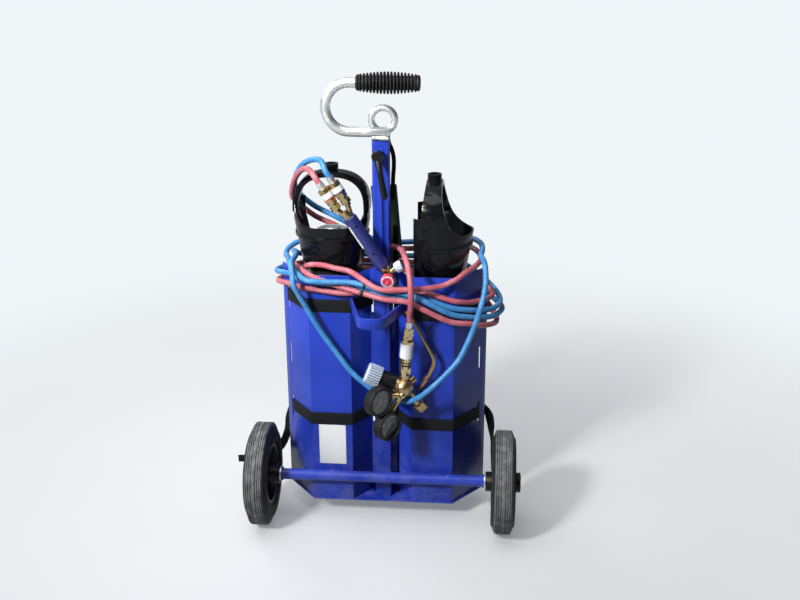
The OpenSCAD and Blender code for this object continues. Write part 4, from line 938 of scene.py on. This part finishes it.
def make_bands():
    """Blank bands, rings and grooves on the arrestor and the check valves."""
    def on_arrestor(piece, s, profile, sides):
        piece.turn(profile, ARRESTOR_START + s * ARRESTOR_WAY, ARRESTOR_WAY, sides)

    def on_valve(piece, side, s, profile):
        far, way = valve_line(side)
        piece.turn(profile, far - s * way, way, 48)

    band = Piece()
    on_arrestor(band, 42, band_profile(12.0, 0.12, 0.1, 28), 64)
    for side in (-1, 1):
        on_valve(band, side, 19, band_profile(10.5, 0.12, 0.1, 10))
    band.done("blank_bands", plate_white)
    collar = Piece()
    for s, width in ((26, 3), (32, 2)):
        on_arrestor(collar, s, band_profile(10.5, 0.4, 0.4, width), 48)
    collar.done("arrestor_black_rings", black_rubber)
    for side, hue, tint, spot in ((-1, "red", knob_red, "knob_red"), (1, "blue", torch_blue, "torch_blue")):
        mark = Piece()
        on_valve(mark, side, 21.4, band_profile(10.5, 0.3, 0.3, 1.6))
        mark.done(f"check_valve_ring_{hue}", tint)
    knurl = Piece()
    for side in (-1, 1):
        for k in range(6):
            on_valve(knurl, side, 1.6 + 1.2 * k, band_profile(10.4, 0.35, 0.25, 0.8))
    knurl.done("check_valve_grooves", bright_brass)


def make_knob_trim():
    """The fuel knob's pale rim and bar, and dark strips laid in the adjusting knob's grooves as painted
    shade.
    """
    way = unit([0, -10, -2])
    at = torch_at(127) + 16.6 * way
    bar = unit([0.6, 0, 0.8])
    face = Piece()
    face.turn([(8.8, 9.9), (8.8, 10.4), (11.3, 10.4), (11.8, 10.1), (11.8, 9.9)], at, way, 48)
    face.block(at + 10.1 * way, (15, 1.1, 0.3), x=bar, y=np.cross(way, bar))
    face.done("fuel_knob_mark", knob_light, "fuel_knob")
    way = unit([-0.92, -0.03, 0.39])
    across = unit(np.cross(way, [0, 1.0, 0]))
    up = np.cross(way, across)
    middle, reach, count = REG + (46.9 + 11.2) * way, 19.05, 24
    # Dark strips in each groove of the knob: painted shade, not a part of the knob
    flute_shade_strips = Piece()
    for k in range(count):
        t = 2 * math.pi * k / count
        out = math.cos(t) * across + math.sin(t) * up
        flute_shade_strips.block(middle + reach * out, (22.2, 1.7, 0.3), x=way, y=np.cross(out, way))
    flute_shade_strips.done("adjusting_knob_painted_flute_shade", flute_shade, "regulator_knob")


make_torch_trim()
make_bands()
make_knob_trim()


# ---------- welds ----------

def bead(piece, a, b, r, seed):
    """A rippled weld from a to b."""
    a, b = np.array(a, float), np.array(b, float)
    n = max(8, int(math.dist(a, b) / 0.9))
    rng = random.Random(seed)
    line = [a + (b - a) * k / n for k in range(n + 1)]
    swell = []
    for k in range(n + 1):
        ends = min(1.0, 0.25 + 0.4 * min(k, n - k))
        swell.append(ends * (0.86 + 0.14 * abs(math.sin(k * 0.9)) + 0.05 * rng.random()))
    piece.sweep(line, ring(r, 10), swell=swell)


def make_welds():
    """Along the axle tube, at the sheet's foot, down the mast and on the handle's top plate."""
    lines = [((x0, -1.3, z), (x1, -1.3, z), 1.8)
             for x0, x1 in ((-132, -96), (-84, -60), (60, 84), (96, 132)) for z in (95.6, 104.4)]
    lines += [((x - 5, -6.4, 109.4), (x + 4, -6.4, 109.4), 2.0) for x in (-97, 62)]
    lines += [((x, 44.6, z0), (x, 44.6, z1), 1.7)
              for z0, z1 in ((60, 96), (180, 216), (300, 336), (420, 452), (474, 505))
              for x in (-15.2, 15.2)]
    seams = Piece()
    for seed, (a, b, r) in enumerate(lines, 1):
        bead(seams, a, b, r, seed)
    seams.done("cart_welds", bead_metal, angle=60)
    top = Piece()
    for seed, y in ((40, 11.6), (41, 21.0)):
        bead(top, (-13.5, y, 766.2), (13.5, y, 766.2), 1.8, seed)
    top.done("handle_welds", zinc_plate, "handle", angle=60)


make_welds()


# ---------- finishes of the frame's own parts ----------

FINISHES = {
    coat: ["back_sheet", "base_plate", "front_foot", "mast_tube", "hose_bracket", "axle_tube"],
    black_rubber: ["foot_pad", "gauge_boots"],
    zinc_plate: ["axle_rod", "axle_washers", "axle_clips", "handle_frame", "lifting_eye", "eye_nut",
                 "clamp_nut", "clamp_stud", "hose_ferrules"],
    steel_dark: ["clamp_lever"],
    tyre_rubber: ["tyre_left", "tyre_right"],
    rim_plastic: ["rim_left", "rim_right", "hub_cap_left", "hub_cap_right"],
    cap_plastic: ["clamp_cap", "regulator_bonnet", "pressure_gauges"],
    nylon: ["wheel_bush_left", "wheel_bush_right"],
    bottle_black: ["oxygen_bottle"],
    bottle_maroon: ["acetylene_bottle"],
    guard_plastic: ["oxygen_guard", "acetylene_guard"],
    bright_brass: ["oxygen_valve", "acetylene_valve", "torch_head", "torch_butt", "check_valves",
                   "flashback_arrestor"],
    dull_brass: ["regulator_body", "tip_tube"],
    cast_metal: ["oxygen_handwheel", "acetylene_handwheel"],
    copper: ["torch_nozzle"],
    card_green: ["card_holder"],
    plate_white: ["data_plate"],
    dial_mark: ["gauge_needle_upper", "gauge_needle_lower"],
    torch_blue: ["torch_handle"],
    knob_red: ["torch_fuel_knob"],
    knob_light: ["torch_oxygen_knob", "adjusting_knob"],
}
# Edges past this many degrees stay sharp
SHARP = 28
# Width of the eased edges, in millimetres
EASED = {
    0.15: ["data_plate"],
    0.3: ["torch_oxygen_knob", "torch_fuel_knob", "torch_nozzle"],
    0.4: ["adjusting_knob", "flashback_arrestor", "check_valves", "torch_head", "oxygen_valve",
          "acetylene_valve", "tyre_left", "tyre_right", "eye_nut"],
    0.5: ["regulator_body"],
    0.6: ["back_sheet", "base_plate", "rim_left", "rim_right"],
    0.7: ["hose_bracket", "handle_frame", "gauge_boots"],
    0.8: ["front_foot"],
    1.0: ["oxygen_guard", "acetylene_guard"],
    1.2: ["mast_tube", "card_holder"],
}


def dress_frame():
    for finish, names in FINISHES.items():
        for name in names:
            mesh = nodes[name].data
            mesh.materials.clear()
            mesh.materials.append(finish)
            mesh.shade_smooth()
            mesh.set_sharp_from_angle(angle=math.radians(SHARP))
    for width, names in EASED.items():
        for name in names:
            weld = nodes[name].modifiers.new("weld", "WELD")
            weld.merge_threshold = 0.000005
            ease(nodes[name], width, 35).use_clamp_overlap = True


dress_frame()


# ---------- floor, light ----------

# What the camera sees far from the cart, on the floor as in the room
PALE = (0.875, 0.912, 0.94, 1.0)
FLOOR_HALF = 30
CAMERA_RAY, GLOSSY_RAY = 0, 3


def make_stage():
    """A pale floor with a darker bounce; far from the cart it is seen as an even pale ground."""
    mesh = bpy.data.meshes.new("floor")
    s = FLOOR_HALF
    mesh.from_pydata([(-s, -s, 0), (s, -s, 0), (s, s, 0), (-s, s, 0)], [], [(0, 1, 2, 3)])
    low, high, bounce = (0.62, 0.625, 0.635), (0.65, 0.655, 0.665), (0.34, 0.345, 0.35)
    f = Finish("pale_floor", low, 0.6, Specular_IOR_Level=0.2)
    tone = f.noise(1.4, 3, 0.6).between(0.3, 0.7)
    f.set("Roughness", 0.5 + tone * 0.12)
    away = (f.axis(0) * f.axis(0) + f.axis(1) * f.axis(1)) ** 0.5
    seen, mirrored = [f.node("ShaderNodeLightPath", {}, {}, k) for k in (CAMERA_RAY, GLOSSY_RAY)]
    f.set("Base Color", f.mix(bounce, f.mix(low, high, tone), seen))
    ground = f.tree.nodes.new("ShaderNodeEmission")
    ground.inputs[0].default_value = PALE
    share = (0.25 + away.between(0.35, 1.7) * 0.75) * seen + mirrored * 0.5
    out = [n for n in f.tree.nodes if n.type == "OUTPUT_MATERIAL"][0]
    mix_shaders(f.tree, share.socket, f.shader.outputs[0], ground.outputs[0], out)
    mesh.materials.append(f.mat)
    put("floor", mesh)


def soft_box(name, at, aim, size, watts, colour, spread=180):
    """A lamp at one point, aimed at another; its spread is in degrees."""
    lamp = bpy.data.lights.new(name, "AREA")
    lamp.shape = "SQUARE"
    lamp.size = size
    lamp.energy = watts
    lamp.color = colour
    lamp.spread = math.radians(spread)
    box = put(name, lamp)
    box.location = at
    box.rotation_euler = (Vector(aim) - Vector(at)).to_track_quat("-Z", "Y").to_euler()
    box.visible_camera = False


def make_lamps():
    soft_box("key", (-1.3, -2.0, 1.9), (-0.2, 0, 0.72), 0.4, 13, (1, 0.99, 0.97), 55)
    soft_box("top", (-0.4, -0.7, 3.0), (0, 0, 0.2), 2.2, 42, (0.97, 0.985, 1))
    soft_box("back_left", (-2.2, 1.8, 1.9), (0, 0, 0.5), 1.2, 22, (0.97, 0.985, 1))


def make_room():
    """A pale room, darker to the right and towards the camera."""
    world = bpy.data.worlds.new("studio")
    bpy.context.scene.world = world
    world.use_nodes = True
    tree = world.node_tree
    tree.nodes.clear()
    out = tree.nodes.new("ShaderNodeOutputWorld")
    path = tree.nodes.new("ShaderNodeLightPath")
    way = tree.nodes.new("ShaderNodeTexCoord")
    parts = tree.nodes.new("ShaderNodeSeparateXYZ")
    tree.links.new(way.outputs["Generated"], parts.inputs[0])
    strength = None
    # for each axis: where the light is least, where it is full, and the least
    for k, low, high, least in ((0, 0.75, -0.6, 0.12), (1, -0.9, 0.3, 0.2), (2, -0.1, 0.75, 0.2)):
        share = tree.nodes.new("ShaderNodeMapRange")
        share.interpolation_type = "SMOOTHSTEP"
        for socket, value in ((1, low), (2, high), (3, least), (4, 1.0)):
            share.inputs[socket].default_value = value
        tree.links.new(parts.outputs[k], share.inputs[0])
        if strength is None:
            strength = share.outputs[0]
            continue
        both = tree.nodes.new("ShaderNodeMath")
        both.operation = "MULTIPLY"
        tree.links.new(strength, both.inputs[0])
        tree.links.new(share.outputs[0], both.inputs[1])
        strength = both.outputs[0]
    room, back = tree.nodes.new("ShaderNodeBackground"), tree.nodes.new("ShaderNodeBackground")
    room.inputs[0].default_value = (0.72, 0.75, 0.78, 1.0)
    tree.links.new(strength, room.inputs[1])
    back.inputs[0].default_value = PALE
    mix_shaders(tree, path.outputs["Is Camera Ray"], room.outputs[0], back.outputs[0], out)


make_stage()
make_lamps()
make_room()
bpy.context.scene.view_settings.view_transform = "Standard"
